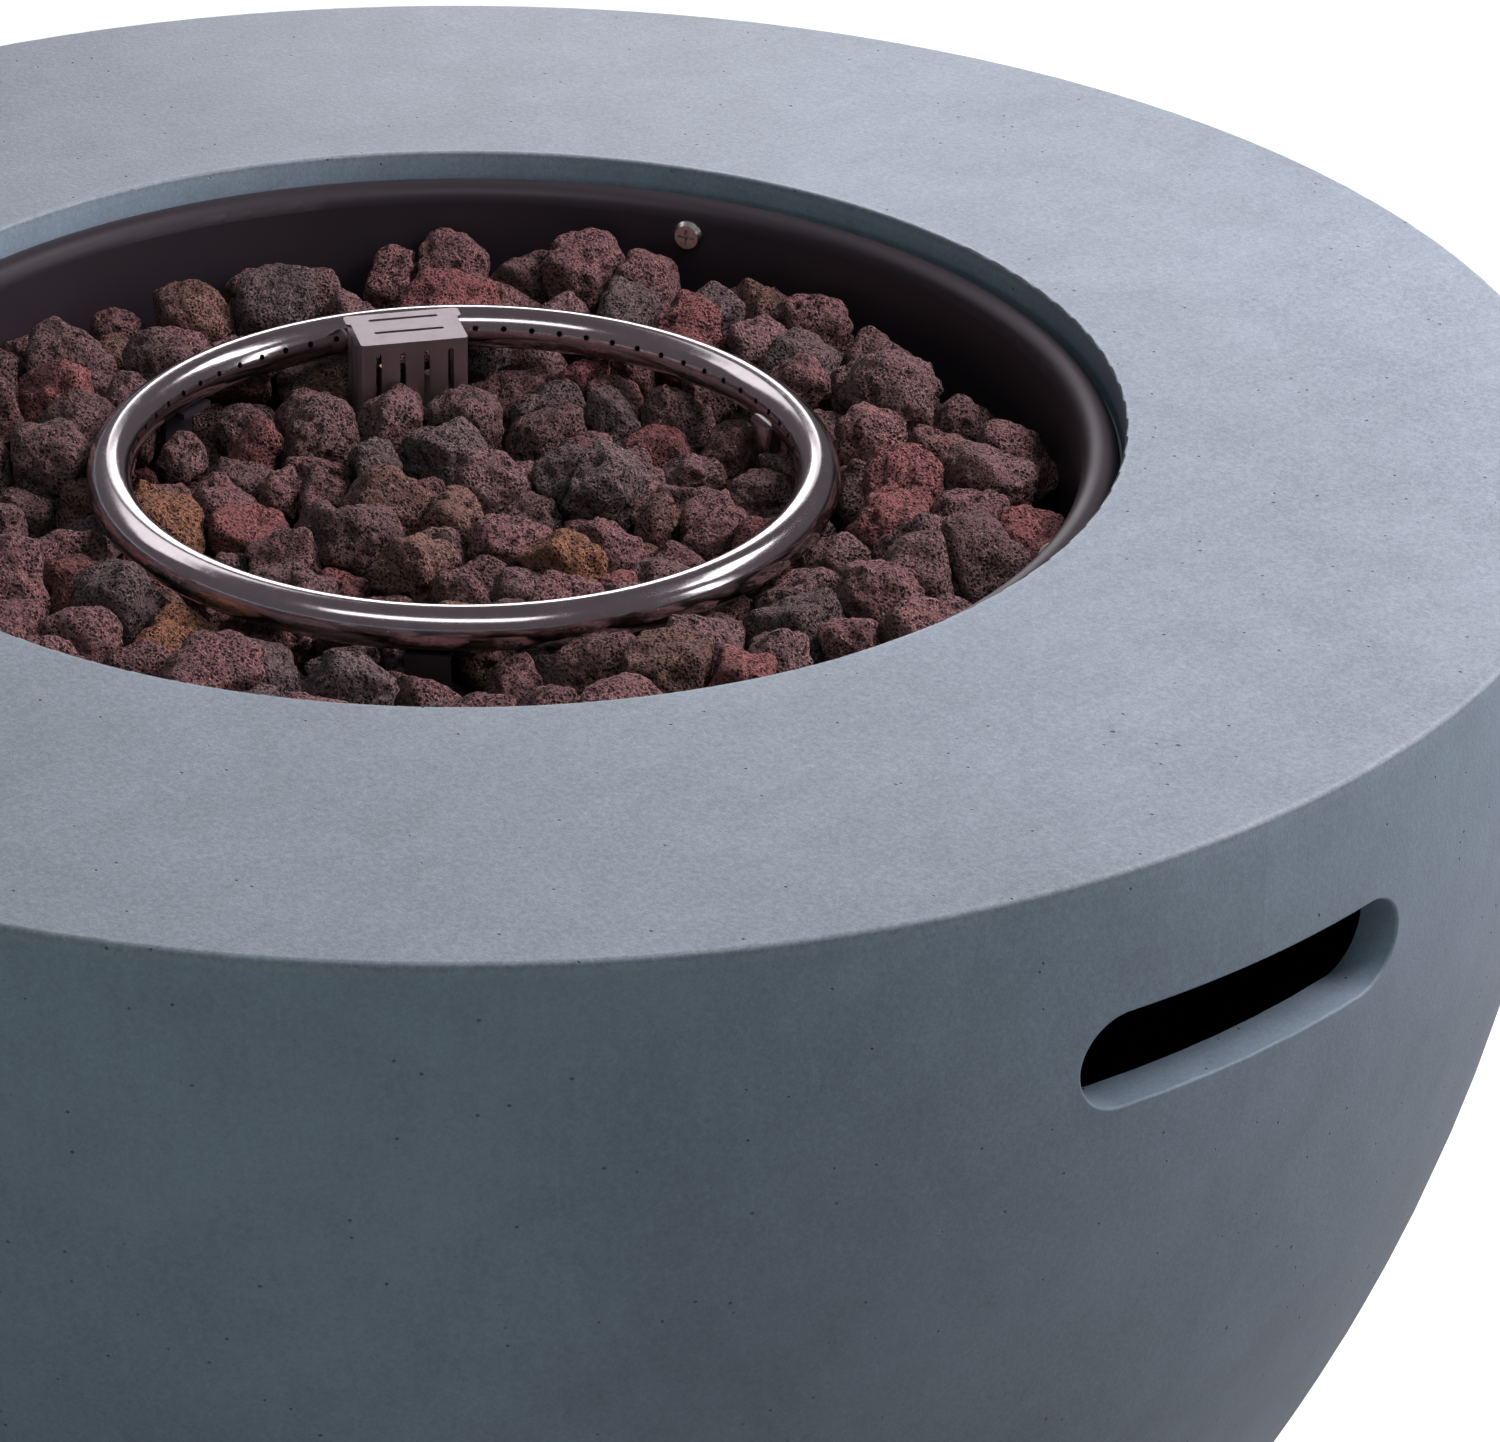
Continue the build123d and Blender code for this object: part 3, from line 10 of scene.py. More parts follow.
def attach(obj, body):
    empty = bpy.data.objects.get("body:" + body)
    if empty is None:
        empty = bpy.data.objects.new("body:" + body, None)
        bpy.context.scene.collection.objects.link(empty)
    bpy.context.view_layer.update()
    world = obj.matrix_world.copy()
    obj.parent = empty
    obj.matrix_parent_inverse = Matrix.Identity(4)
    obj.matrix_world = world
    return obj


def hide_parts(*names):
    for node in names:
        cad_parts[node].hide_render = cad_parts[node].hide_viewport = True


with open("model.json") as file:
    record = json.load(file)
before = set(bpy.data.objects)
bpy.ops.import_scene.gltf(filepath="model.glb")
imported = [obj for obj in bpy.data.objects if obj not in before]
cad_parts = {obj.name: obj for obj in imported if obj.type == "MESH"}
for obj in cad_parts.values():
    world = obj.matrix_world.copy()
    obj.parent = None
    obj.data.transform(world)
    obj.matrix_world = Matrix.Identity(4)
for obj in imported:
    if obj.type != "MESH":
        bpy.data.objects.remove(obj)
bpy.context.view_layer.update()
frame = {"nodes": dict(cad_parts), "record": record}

scene = bpy.context.scene
print("frame loaded:", len(frame["nodes"]), "nodes")


# Shader maths: a wire is one value in a material, and Python's operators on it add Math nodes
class Wire:
    def __init__(self, paint, socket):
        self.paint = paint
        self.socket = socket

    def maths(self, operation, first, second=0.0):
        return self.paint.add("Math", {"operation": operation}, {0: first, 1: second})

    def __add__(self, other):
        return self.maths("ADD", self, other)

    def __sub__(self, other):
        return self.maths("SUBTRACT", self, other)

    def __mul__(self, other):
        return self.maths("MULTIPLY", self, other)

    def __lt__(self, other):
        return self.maths("LESS_THAN", self, other)

    def __rsub__(self, other):
        return self.maths("SUBTRACT", other, self)

    __radd__ = __add__
    __rmul__ = __mul__

    def abs(self):
        return self.maths("ABSOLUTE", self)

    def root(self):
        return self.maths("SQRT", self)

    def most(self, other):
        return self.maths("MAXIMUM", self, other)

    def smooth(self, low, high, start=0.0, end=1.0):  # eases from start at low to end at high
        return self.paint.add(
            "MapRange", {"interpolation_type": "SMOOTHSTEP"},
            {"Value": self, "From Min": low, "From Max": high, "To Min": start, "To Max": end},
        )


class Paint:  # one material and its nodes
    def __init__(self, name):
        self.material = bpy.data.materials.new(name)
        self.material.use_nodes = True
        self.tree = self.material.node_tree
        self.tree.nodes.clear()

    def add(self, kind, settings=None, inputs=None, output=0):
        node = self.tree.nodes.new("ShaderNode" + kind)
        for key, value in (settings or {}).items():
            setattr(node, key, value)
        for key, value in (inputs or {}).items():
            if isinstance(value, Wire):
                self.tree.links.new(value.socket, node.inputs[key])
            else:
                node.inputs[key].default_value = value
        return Wire(self, node.outputs[output]) if node.outputs else None

    def place(self):  # where a point is in the part, in metres
        return self.add("TexCoord", output="Object")

    def parts(self, vector):
        return [self.add("SeparateXYZ", None, {0: vector}, output) for output in range(3)]

    def noise(self, vector, scale, detail=2.0, roughness=0.5, distortion=0.0):
        inputs = {"Scale": scale, "Detail": detail, "Roughness": roughness, "Distortion": distortion}
        return self.add("TexNoise", None, {"Vector": vector, **inputs})

    def cells(self, vector, scale, output="Distance"):
        return self.add("TexVoronoi", None, {"Vector": vector, "Scale": scale}, output)

    def stretch(self, vector, sizes):
        return self.add("VectorMath", {"operation": "MULTIPLY"}, {0: vector, 1: sizes})

    def bend(self, vector, scale, amount):  # a place moved about by a noise
        noise = self.add("TexNoise", None, {"Vector": vector, "Scale": scale, "Detail": 2.0}, "Color")
        shift = self.add("VectorMath", {"operation": "SCALE"}, {0: noise, "Scale": amount})
        return self.add("VectorMath", {"operation": "ADD"}, {0: vector, 1: shift})

    def tint(self, factor, first, second):  # two colours mixed by a factor
        return self.add("Mix", {"data_type": "RGBA"}, {0: factor, 6: first, 7: second}, 2)

    def shade(self, colour, brightness):  # a colour made lighter or darker by a value
        start = colour if isinstance(colour, Wire) else colour[:3]
        return self.add("VectorMath", {"operation": "SCALE"}, {0: start, "Scale": brightness})

    def bump(self, height, distance):
        return self.add("Bump", None, {"Height": height, "Distance": distance, "Strength": 1.0})

    def finish(self, **inputs):
        named = {key.replace("_", " "): value for key, value in inputs.items()}
        surface = self.add("BsdfPrincipled", None, named)
        self.add("OutputMaterial", None, {"Surface": surface})
        return self.material


def srgb(red, green, blue):  # a colour given as it shows on a screen, 0 to 255
    linear = [((v / 255 + 0.055) / 1.055) ** 2.4 if v > 10 else v / 255 / 12.92 for v in (red, green, blue)]
    return (*linear, 1.0)


# Concrete
concreteLook = {
    # the top and the side are painted as two tones of one concrete: painted light for how light falls on each
    # face
    "topPaintedLight": srgb(124, 139, 149),
    "side": srgb(129, 149, 163),
    "mottleStrength": 0.16,
    "grainStrength": 0.42,
    "sideGrain": 0.5,       # share of that grain on the side
    "pitShare": 0.16,
    "roughness": 0.5,
    "rimTop": 0.388,
    "rimRadius": 0.3556,
    "openingRadius": 0.2097,
    "edgeWidth": 0.0028,
    "mottleScale": 7.0,     # patches
    "cloudScale": 38.0,     # smaller patches
    "streakSizes": (260, 30, 30),
    "grainScale": 1400.0,
    "sandScale": 520.0,
    "finePits": (210, 0.13),     # how close, and how wide as a share of their spacing
    "coarsePits": (62, 0.055),
    # painted shade inside the pinholes
    "paintedPitShade": 0.45,
    # a painted highlight along the rim's outer and inner edges
    "paintedEdgeHighlight": 0.12,
    "bumpDepth": 0.00022,
}


def concretePaint(look):
    paint = Paint("castConcrete")
    place = paint.place()
    x, y, z = paint.parts(place)
    radius = (x * x + y * y).root()
    mottle = paint.noise(place, look["mottleScale"], 4, 0.55, 0.4)
    cloud = paint.noise(place, look["cloudScale"], 6, 0.7)
    streak = paint.noise(paint.stretch(place, look["streakSizes"]), 1.0, 3, 0.6)
    grain = paint.noise(place, look["grainScale"], 2, 0.6)
    sand = paint.noise(place, look["sandScale"], 3, 0.65)

    def pits(sizes, share):
        scale, size = sizes
        near = paint.cells(place, scale)
        chance = paint.parts(paint.cells(place, scale, "Color"))[0]
        return near.smooth(size * 0.35, size, 1.0, 0.0) * (chance < share)

    fine = pits(look["finePits"], look["pitShare"])
    coarse = pits(look["coarsePits"], look["pitShare"] * 1.3)
    holes = fine.most(coarse)
    rimTop = look["rimTop"]
    width = look["edgeWidth"]
    onTop = z.smooth(rimTop - 0.004, rimTop - 0.001)
    # edge is a thin band at the rim's outer and inner edges; it lifts the colour there as a painted highlight
    # and lowers the roughness
    outer = (radius - look["rimRadius"]).abs().smooth(0.0, width, 1.0, 0.0)
    inner = (radius - look["openingRadius"]).abs().smooth(0.0, width, 1.0, 0.0)
    edge = outer.most(inner) * z.smooth(rimTop - 2 * width, rimTop - width / 2)
    speckle = (onTop * (1.0 - look["sideGrain"]) + look["sideGrain"]) * look["grainStrength"]
    tone = (
        1.0
        + (mottle - 0.5) * 2 * look["mottleStrength"]
        + (cloud - 0.5) * 2.5 * look["mottleStrength"]
        + (streak - 0.5) * look["mottleStrength"]
        + (grain - 0.5) * 2 * speckle
        + (sand - 0.5) * 2 * speckle
        + edge * look["paintedEdgeHighlight"]
        # the pits are darkened: painted shade inside them
        - holes * look["paintedPitShade"]
    )
    # the onTop mask picks between the painted-light tones of the top and of the side
    colour = paint.shade(paint.tint(onTop, look["side"], look["topPaintedLight"]), tone)
    height = grain * 0.25 + sand * 0.5 + cloud * 0.4 - holes * 3.0
    return paint.finish(
        Base_Color=colour,
        Roughness=look["roughness"] + (sand - 0.5) * 0.3 - edge * 0.12,
        Normal=paint.bump(height, look["bumpDepth"]),
        IOR=1.5,
    )


# Metals
def polishedPaint(look):
    paint = Paint(look["name"])
    place = paint.place()
    x, y, z = paint.parts(place)
    cloud = paint.noise(place, 55, 4, 0.6)
    brush = paint.noise(paint.stretch(place, look["brush"]), 1.0, 3, 0.6)
    smear = paint.noise(place, 160, 5, 0.7, 0.6)
    tone = 1.0 + (cloud - 0.5) * look["stain"] + (smear - 0.5) * look["stain"]
    spread = (brush - 0.5) * look["spread"] + smear.smooth(0.55, 0.75) * look["spread"]
    return paint.finish(
        Base_Color=paint.shade(look["colour"], tone),
        Metallic=1.0,
        Roughness=look["roughness"] + spread,
        Normal=paint.bump(brush, look["depth"]),
    )


ringSteel = polishedPaint({
    "name": "polishedStainless", "colour": (0.62, 0.575, 0.59, 1.0), "brush": (900, 900, 120), "stain": 0.2,
    "roughness": 0.16, "spread": 0.12, "depth": 0.000005,
})
sheetSteel = polishedPaint({
    "name": "brushedStainless", "colour": (0.8, 0.78, 0.79, 1.0), "brush": (1600, 220, 220), "stain": 0.1,
    "roughness": 0.27, "spread": 0.16, "depth": 0.00002,
})
coverSteel = polishedPaint({
    "name": "brushedCover", "colour": (0.5, 0.44, 0.465, 1.0), "brush": (1600, 220, 220), "stain": 0.2,
    "roughness": 0.46, "spread": 0.12, "depth": 0.00001,
})
zincSteel = polishedPaint({
    "name": "zincPlate", "colour": (0.66, 0.65, 0.62, 1.0), "brush": (700, 700, 700), "stain": 0.25,
    "roughness": 0.32, "spread": 0.2, "depth": 0.00002,
})
galvanised = polishedPaint({
    "name": "galvanisedSheet", "colour": (0.5, 0.52, 0.54, 1.0), "brush": (140, 140, 140), "stain": 0.45,
    "roughness": 0.42, "spread": 0.2, "depth": 0.00003,
})
brass = polishedPaint({
    "name": "machinedBrass", "colour": (0.75, 0.55, 0.27, 1.0), "brush": (300, 300, 2600), "stain": 0.2,
    "roughness": 0.26, "spread": 0.14, "depth": 0.00002,
})
aluminium = polishedPaint({
    "name": "drawnAluminium", "colour": (0.72, 0.73, 0.74, 1.0), "brush": (500, 90, 500), "stain": 0.16,
    "roughness": 0.36, "spread": 0.16, "depth": 0.00003,
})
copper = polishedPaint({
    "name": "copperTube", "colour": (0.68, 0.36, 0.24, 1.0), "brush": (400, 400, 400), "stain": 0.3,
    "roughness": 0.3, "spread": 0.14, "depth": 0.00002,
})


# Painted sheet, rubber and mouldings
def coatedPaint(look):
    paint = Paint(look["name"])
    place = paint.place()
    cloud = paint.noise(place, look["cloudScale"], 4, 0.6, 0.3)
    grain = paint.noise(place, look["grainScale"], 3, 0.6)
    dust = paint.noise(place, 240, 4, 0.7).smooth(0.6, 0.8)
    tone = 1.0 + (cloud - 0.5) * look["stain"] + (grain - 0.5) * look["stain"]
    colour = paint.tint(dust * look["dust"], paint.shade(look["colour"], tone), look["dustColour"])
    return paint.finish(
        Base_Color=colour,
        Roughness=look["roughness"] + (cloud - 0.5) * look["spread"] + dust * 0.1,
        Normal=paint.bump(grain, look["depth"]),
        Coat_Roughness=0.2,
        Coat_Weight=look["coat"],
    )


dustColour = srgb(120, 112, 108)
panPaint = coatedPaint({
    "name": "blackHeatPaint", "colour": srgb(42, 38, 44), "cloudScale": 24, "grainScale": 1100, "stain": 0.25,
    "dust": 0.05, "dustColour": dustColour, "roughness": 0.46, "spread": 0.1, "depth": 0.00002, "coat": 0.0,
})
rubber = coatedPaint({
    "name": "blackRubber", "colour": srgb(38, 38, 39), "cloudScale": 60, "grainScale": 1500, "stain": 0.3,
    "dust": 0.2, "dustColour": dustColour, "roughness": 0.72, "spread": 0.15, "depth": 0.00005, "coat": 0.0,
})
leadSleeve = coatedPaint({
    "name": "siliconeSleeve", "colour": srgb(44, 40, 42), "cloudScale": 90, "grainScale": 1800, "stain": 0.2,
    "dust": 0.1, "dustColour": dustColour, "roughness": 0.5, "spread": 0.1, "depth": 0.00002, "coat": 0.0,
})
knobPlastic = coatedPaint({
    "name": "mouldedBlack", "colour": srgb(40, 40, 42), "cloudScale": 70, "grainScale": 2600, "stain": 0.15,
    "dust": 0.06, "dustColour": dustColour, "roughness": 0.44, "spread": 0.08, "depth": 0.00004, "coat": 0.0,
})
buttonPlastic = coatedPaint({
    "name": "mouldedRed", "colour": srgb(158, 26, 22), "cloudScale": 70, "grainScale": 2000, "stain": 0.1,
    "dust": 0.04, "dustColour": dustColour, "roughness": 0.28, "spread": 0.06, "depth": 0.00001, "coat": 0.3,
})
nylon = coatedPaint({
    "name": "greyNylon", "colour": srgb(150, 150, 148), "cloudScale": 90, "grainScale": 1500, "stain": 0.1,
    "dust": 0.1, "dustColour": dustColour, "roughness": 0.5, "spread": 0.08, "depth": 0.00002, "coat": 0.0,
})
ceramic = coatedPaint({
    "name": "sootyCeramic", "colour": srgb(150, 140, 132), "cloudScale": 120, "grainScale": 1800,
    "stain": 0.06, "dust": 0.15, "dustColour": srgb(150, 130, 110), "roughness": 0.38, "spread": 0.1,
    "depth": 0.00001, "coat": 0.2,
})
paleInlay = coatedPaint({
    "name": "paleInlay", "colour": srgb(222, 222, 220), "cloudScale": 100, "grainScale": 1500, "stain": 0.06,
    "dust": 0.1, "dustColour": dustColour, "roughness": 0.5, "spread": 0.08, "depth": 0.00001, "coat": 0.0,
})
concrete = concretePaint(concreteLook)
print("materials made")

# Finishes of the pieces whose shape is right as it is
finishes = {
    "concrete": concrete, "black_steel": panPaint, "stainless": sheetSteel, "zinc_steel": zincSteel,
    "galvanised_steel": galvanised, "brass": brass, "cast_aluminium": aluminium, "copper_tone": copper,
    "rubber": rubber, "black_rubber": leadSleeve, "black_plastic": knobPlastic, "red_plastic": buttonPlastic,
    "nylon": nylon, "white_ceramic": ceramic, "pale_print": paleInlay,
}
slotOf = {row["node"]: row["material_slot"] for row in frame["record"]["subparts"]}
for name, piece in frame["nodes"].items():
    if slotOf[name] in finishes:
        piece.data.materials.clear()
        piece.data.materials.append(finishes[slotOf[name]])
frame["nodes"]["burner_ring"].data.materials[0] = ringSteel
frame["nodes"]["pilot_cover"].data.materials[0] = coverSteel
# the ring brackets take the black pan paint in place of their own metal so they sink into the shade under the
# ring: painted shade
frame["nodes"]["ring_brackets"].data.materials[0] = panPaint


# Lava rock: each stone of the frame becomes a rough, pitted one of its own
stoneLook = {
    "seed": 7,
    "fineLevel": 5,         # subdivisions of a stone that shows
    "coarseLevel": 4,       # and of one in the bottom layer
    "layerHeight": 0.329,   # middles above this show
    "roundness": 12.0,      # higher keeps flatter faces
    "swell": 1.04,          # over 1 lets stones lean on each other
    "lump": 0.1,            # share of a stone's size
    "rough": 0.001,
    "holeCell": 0.0062,     # spacing of the large pores
    "holeShare": 0.45,
    "holeDepth": 0.0016,
    "groups": 8,
    "colours": (
        (srgb(121, 87, 87), 0.38),
        (srgb(113, 86, 87), 0.3),
        (srgb(101, 85, 87), 0.12),
        (srgb(130, 80, 79), 0.09),
        (srgb(119, 89, 80), 0.08),
        (srgb(142, 99, 74), 0.02),
    ),
}


def latticeNoise(points, cell, seed):  # smooth noise from -1 to 1 on a grid of that cell size
    scaled = points / cell + seed * 17.3
    low = np.floor(scaled).astype(np.int64)
    part = scaled - low
    ease = part * part * (3 - 2 * part)
    total = np.zeros(len(points))
    for corner in range(8):
        step = np.array([corner & 1, corner >> 1 & 1, corner >> 2 & 1])
        spot = low + step
        mixed = (spot[:, 0] * 73856093) ^ (spot[:, 1] * 19349663) ^ (spot[:, 2] * 83492791) ^ (seed * 2654435)
        value = ((mixed * 1103515245 + 12345) >> 8 & 0xFFFF) / 32767.5 - 1
        total += value * np.prod(np.where(step == 1, ease, 1 - ease), axis=1)
    return total


def nearestSpot(points, cell, seed):  # cells to the nearest of scattered spots, and that spot's number
    scaled = points / cell + seed * 11.9
    low = np.floor(scaled).astype(np.int64)
    best = np.full(len(points), 9.0)
    luck = np.zeros(len(points))
    for number in range(27):
        spot = low + np.array([number % 3, number // 3 % 3, number // 9]) - 1
        mixed = (spot[:, 0] * 73856093) ^ (spot[:, 1] * 19349663) ^ (spot[:, 2] * 83492791) ^ (seed * 2654435)
        mixed = mixed * 1103515245 + 12345 >> 8
        shift = np.stack([mixed & 255, mixed >> 8 & 255, mixed >> 16 & 255], axis=1) / 255 * 0.8 + 0.1
        reach = np.linalg.norm(scaled - spot - shift, axis=1)
        closer = reach < best
        best = np.where(closer, reach, best)
        luck = np.where(closer, (mixed >> 24 & 255) / 255, luck)
    return best, luck


def ball(level):  # unit directions and faces of an evenly divided sphere
    mesh = bmesh.new()
    bmesh.ops.create_icosphere(mesh, subdivisions=level, radius=1.0)
    directions = np.array([v.co.normalized() for v in mesh.verts])
    faces = np.array([[v.index for v in f.verts] for f in mesh.faces])
    mesh.free()
    return directions, faces


def looseStones(node):  # corner points of each separate stone
    mesh = node.data
    owner = list(range(len(mesh.vertices)))

    def head(i):
        while owner[i] != i:
            owner[i] = owner[owner[i]]
            i = owner[i]
        return i

    places = {}
    for vertex in mesh.vertices:
        key = tuple(round(c, 6) for c in vertex.co)
        owner[vertex.index] = places.setdefault(key, vertex.index)
    for edge in mesh.edges:
        a, b = head(edge.vertices[0]), head(edge.vertices[1])
        owner[max(a, b)] = min(a, b)
    groups = {}
    for polygon in mesh.polygons:
        groups.setdefault(head(polygon.vertices[0]), []).append(polygon)
    stones = []
    for _, group in sorted(groups.items()):
        centres = np.array([p.center[:] for p in group])
        normals = np.array([p.normal[:] for p in group])
        stones.append((centres, normals, [p.area for p in group]))
    return stones


def roughStone(stone, shape, look, rng):
    centres, normals, areas = stone
    middle = np.average(centres, axis=0, weights=areas)
    reach = np.einsum("ij,ij->i", centres - middle, normals)
    directions, faces = shape
    closeness = np.maximum(directions @ (normals / reach[:, None]).T, 0)
    closeness = np.unique(closeness.round(9), axis=1)
    power = look["roundness"]
    distance = (closeness**power).sum(axis=1) ** (-1 / power)
    size = distance.mean()
    points = middle + directions * distance[:, None]
    lump = latticeNoise(points, size * 0.8, 1) + 0.5 * latticeNoise(points, size * 0.35, 4)
    lump = lump * look["lump"] * size
    rough = latticeNoise(points, 0.0042, 2) + 0.6 * latticeNoise(points, 0.0019, 3)
    near, luck = nearestSpot(points, look["holeCell"] * rng.uniform(0.7, 1.3), 5)
    holes = np.clip(1 - (near / 0.42) ** 2, 0, 1) ** 0.7 * (luck < look["holeShare"])
    out = distance * (look["swell"] - 1) + lump + rough * look["rough"] - holes * look["holeDepth"]
    return points + directions * out[:, None], faces, holes


def stoneColours(look, rng, holes, rough):
    shares = np.array([share for _, share in look["colours"]])
    picked = rng.choice(len(shares), p=shares / shares.sum())
    colour = np.array(look["colours"][picked][0][:3]) * rng.uniform(0.82, 1.18)
    # the carved pores are darkened by 0.45: painted shade inside them
    return np.clip(colour * (1 - 0.45 * holes[:, None]) * (1 + 0.12 * rough[:, None]), 0, 1)


def stonePaint():
    paint = Paint("lavaRock")
    place = paint.place()
    base = paint.add("Attribute", {"attribute_name": "stoneColour"}, None, "Color")
    bent = paint.bend(place, 520, 0.0011)
    grain = paint.noise(place, 1700, 3, 0.7)
    patch = paint.noise(place, 130, 3, 0.6)
    crowd = patch.smooth(0.3, 0.6, 0.45, 1.0)      # pores crowd in patches
    large = paint.cells(bent, 460).smooth(0.12, 0.42)
    small = paint.cells(bent, 820).smooth(0.16, 0.52)
    pores = (1.0 - crowd * 0.8 * (1.0 - large)) * (1.0 - crowd * (1.0 - small))
    # this mark lightens speckled spots on the pore rims and pales them towards grey-pink: a painted highlight
    rimHighlight = small.smooth(0.75, 1.0) * grain.smooth(0.5, 0.66)
    # the tone darkens towards the pore centres: painted shade inside the pores
    tone = (0.06 + pores * 0.78) * (0.2 + grain * 1.25) + rimHighlight * crowd * 1.6
    colour = paint.tint(rimHighlight * 0.35, paint.shade(base, tone), (0.22, 0.175, 0.18, 1.0))
    return paint.finish(
        Base_Color=colour,
        Roughness=0.75 + (grain - 0.5) * 0.3,
        Normal=paint.bump(pores * 0.8 + grain * 0.6, 0.0013),
        IOR=1.45,
    )


def makeStones(look):
    rng = np.random.default_rng(look["seed"])
    shapes = {level: ball(level) for level in (look["fineLevel"], look["coarseLevel"])}
    paint = stonePaint()
    groups = [([], [], []) for _ in range(look["groups"])]
    for stone in looseStones(frame["nodes"]["lava_rocks"]):
        middle = stone[0].mean(axis=0)
        level = look["fineLevel"] if middle[2] > look["layerHeight"] else look["coarseLevel"]
        points, faces, holes = roughStone(stone, shapes[level], look, rng)
        rough = latticeNoise(points, 0.006, 5)
        turn = math.atan2(middle[1], middle[0]) / (2 * math.pi) % 1
        places, corners, colours = groups[int(turn * look["groups"])]
        corners.append(faces + sum(len(p) for p in places))
        places.append(points)
        colours.append(stoneColours(look, rng, holes, rough))
    for number, (places, corners, colours) in enumerate(groups, 1):
        mesh = bpy.data.meshes.new(f"lavaRock{number}")
        mesh.from_pydata(np.concatenate(places).tolist(), [], np.concatenate(corners).tolist())
        layer = mesh.color_attributes.new("stoneColour", "FLOAT_COLOR", "POINT")
        tones = np.concatenate(colours)
        layer.data.foreach_set("color", np.hstack([tones, np.ones((len(tones), 1))]).ravel())
        mesh.shade_smooth()
        mesh.materials.append(paint)
        piece = bpy.data.objects.new(f"lavaRock{number}", mesh)
        scene.collection.objects.link(piece)
        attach(piece, "bowl")
        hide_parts("lava_rocks")


makeStones(stoneLook)
print("lava rock made")

# Camera, at the photograph's angle
cameraLook = {
    "azimuth": -38.4,       # where it stands round the bowl, degrees
    "distance": 1.6311,     # from the bowl's axis
    "height": 1.13025,
    "turn": 3.263,          # to the right of the axis
    "tilt": 27.703,
    "roll": 1.268,
    "lens": 135.14,
    "sensor": 36.0,
}


def makeCamera(look):
    data = bpy.data.cameras.new("camera")
    data.lens = look["lens"]
    data.sensor_width = look["sensor"]
    data.clip_start = 0.05
    data.clip_end = 60
    camera = bpy.data.objects.new("camera", data)
    scene.collection.objects.link(camera)
    stand = math.radians(look["azimuth"])
    heading = math.radians(look["azimuth"] + 90 - look["turn"])
    turned = (
        Matrix.Rotation(heading, 4, "Z")
        @ Matrix.Rotation(math.radians(90 - look["tilt"]), 4, "X")
        @ Matrix.Rotation(math.radians(look["roll"]), 4, "Z")
    )
    place = Vector((look["distance"] * math.cos(stand), look["distance"] * math.sin(stand), look["height"]))
    camera.matrix_world = Matrix.Translation(place) @ turned
    scene.camera = camera


makeCamera(cameraLook)

# Floor, sky and lamps
stageLook = {
    "floorSize": 40.0,
    "floorColour": (0.3, 0.3, 0.3, 1.0),
    "floorGlow": 0.9,
    "sky": 0.045,
    "skyColour": (1.0, 0.94, 0.98, 1.0),
    "mirrored": 0.11,       # the sky as reflections see it
    "mirroredColour": (1.0, 0.86, 0.94, 1.0),
    "lamps": (      # these light the surfaces and are seen in no reflection
        # name, azimuth, elevation, distance, width, height, power, colour
        ("bank", 68.0, 46.0, 1.1, 1.2, 0.45, 22.0, (1.0, 0.85, 0.88)),
        ("back", 122.0, 14.0, 3.0, 1.1, 1.4, 9.0, (0.98, 0.97, 0.98)),
        ("right", 53.0, 16.0, 2.4, 0.6, 1.2, 16.0, (1.0, 0.95, 0.96)),
        ("front", 320.0, 54.0, 2.6, 1.0, 1.0, 9.6, (0.87, 1.0, 1.01)),
        ("fill", 290.0, 1.0, 3.0, 2.4, 1.6, 13.5, (1.0, 1.0, 1.01)),
    ),
    "cards": (      # and these are seen in reflections alone
        ("backCard", 141.0, 10.0, 3.0, 1.0, 1.6, 16.0, (1.0, 0.97, 1.0)),
        ("backLeftCard", 180.0, 40.0, 2.6, 2.0, 0.8, 6.5, (1.0, 0.97, 1.0)),
        ("backRightCard", 76.0, 47.0, 2.6, 1.5, 0.5, 9.0, (1.0, 0.97, 1.0)),
        ("rightCard", 38.0, 18.0, 2.4, 0.35, 1.1, 5.0, (1.0, 0.97, 1.0)),
        ("frontCard", 308.0, 60.0, 2.6, 2.2, 0.6, 10.0, (1.0, 0.97, 1.0)),
    ),
}


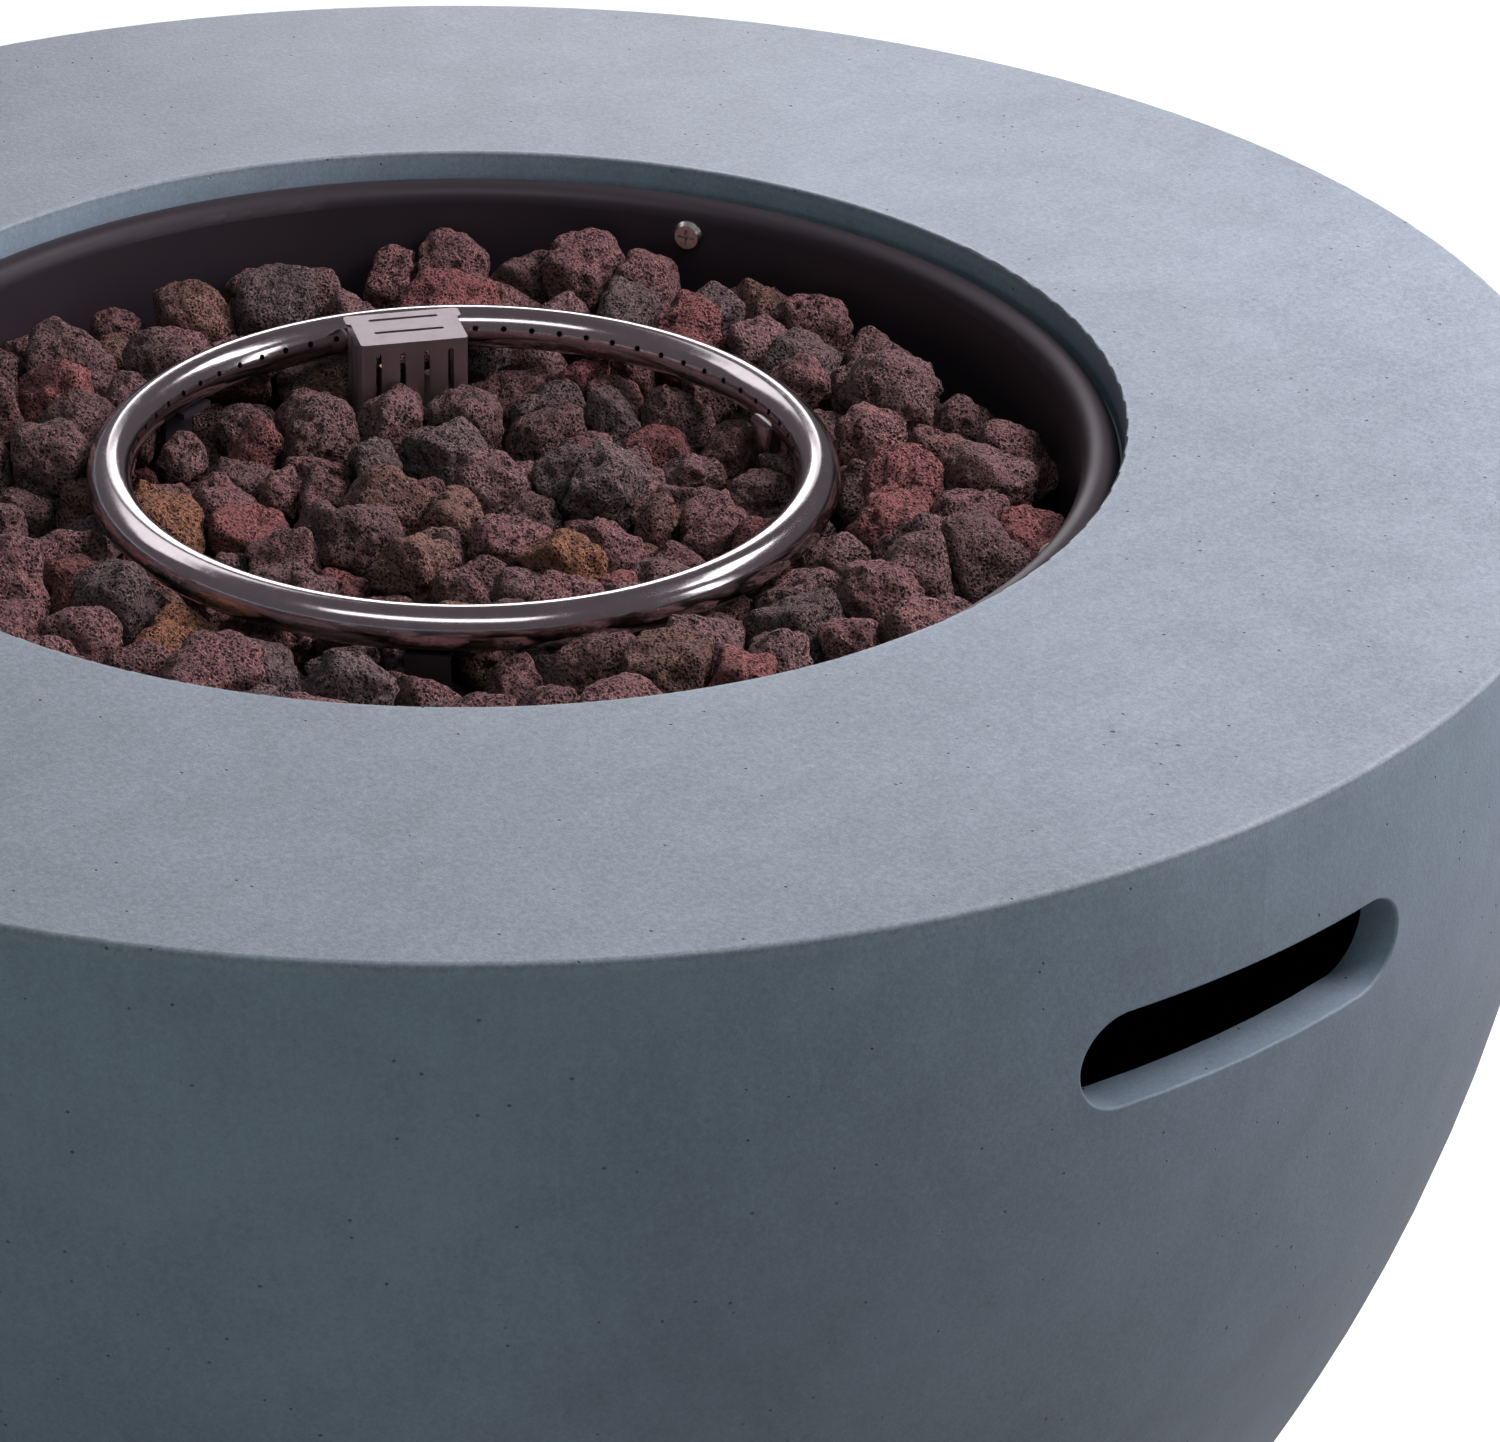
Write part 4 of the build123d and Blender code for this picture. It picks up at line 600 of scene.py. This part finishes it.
def makeStage(look):
    half = look["floorSize"] / 2
    corners = [(-half, -half, 0), (half, -half, 0), (half, half, 0), (-half, half, 0)]
    mesh = bpy.data.meshes.new("floor")
    mesh.from_pydata(corners, [], [(0, 1, 2, 3)])
    floor = bpy.data.objects.new("floor", mesh)
    scene.collection.objects.link(floor)
    paint = Paint("paleFloor")
    seen = paint.add("LightPath", output="Is Camera Ray")
    lit = paint.add("BsdfDiffuse", None, {"Color": look["floorColour"]})
    glow = paint.add("Emission", None, {"Color": (1.0, 1.0, 1.0, 1.0), "Strength": look["floorGlow"]})
    both = paint.add("AddShader", None, {0: lit, 1: glow})
    shown = paint.add("MixShader", None, {0: seen, 1: lit, 2: both})
    paint.add("OutputMaterial", None, {"Surface": shown})
    mesh.materials.append(paint.material)

    world = bpy.data.worlds.new("sky")
    world.use_nodes = True
    scene.world = world
    tree = world.node_tree
    tree.nodes.clear()
    path = tree.nodes.new("ShaderNodeLightPath")
    out = tree.nodes.new("ShaderNodeOutputWorld")
    skies = []
    for colour, strength in (
        (look["skyColour"], look["sky"]),
        (look["mirroredColour"], look["mirrored"]),
        ((1.0, 1.0, 1.0, 1.0), 1.0),
    ):
        sky = tree.nodes.new("ShaderNodeBackground")
        sky.inputs["Color"].default_value = colour
        sky.inputs["Strength"].default_value = strength
        skies.append(sky)
    shown = skies[0]
    for ray, sky in (("Is Glossy Ray", skies[1]), ("Is Camera Ray", skies[2])):
        mix = tree.nodes.new("ShaderNodeMixShader")
        tree.links.new(path.outputs[ray], mix.inputs[0])
        tree.links.new(shown.outputs[0], mix.inputs[1])
        tree.links.new(sky.outputs[0], mix.inputs[2])
        shown = mix
    tree.links.new(shown.outputs[0], out.inputs["Surface"])

    for name, azimuth, elevation, distance, width, height, power, colour in look["lamps"] + look["cards"]:
        data = bpy.data.lights.new(name, "AREA")
        data.shape = "RECTANGLE"
        data.size = width
        data.size_y = height
        data.energy = power
        data.color = colour
        lamp = bpy.data.objects.new(name, data)
        lamp.visible_camera = False
        lamp.visible_glossy = name.endswith("Card")
        lamp.visible_diffuse = not name.endswith("Card")
        scene.collection.objects.link(lamp)
        turn = math.radians(azimuth)
        rise = math.radians(elevation)
        aim = Vector((0, 0, 0.35))
        spot = aim + distance * Vector((
            math.cos(rise) * math.cos(turn), math.cos(rise) * math.sin(turn), math.sin(rise),
        ))
        facing = (spot - aim).to_track_quat("Z", "Y").to_matrix().to_4x4()
        lamp.matrix_world = Matrix.Translation(spot) @ facing


makeStage(stageLook)
scene.view_settings.view_transform = "Standard"
print("stage made")
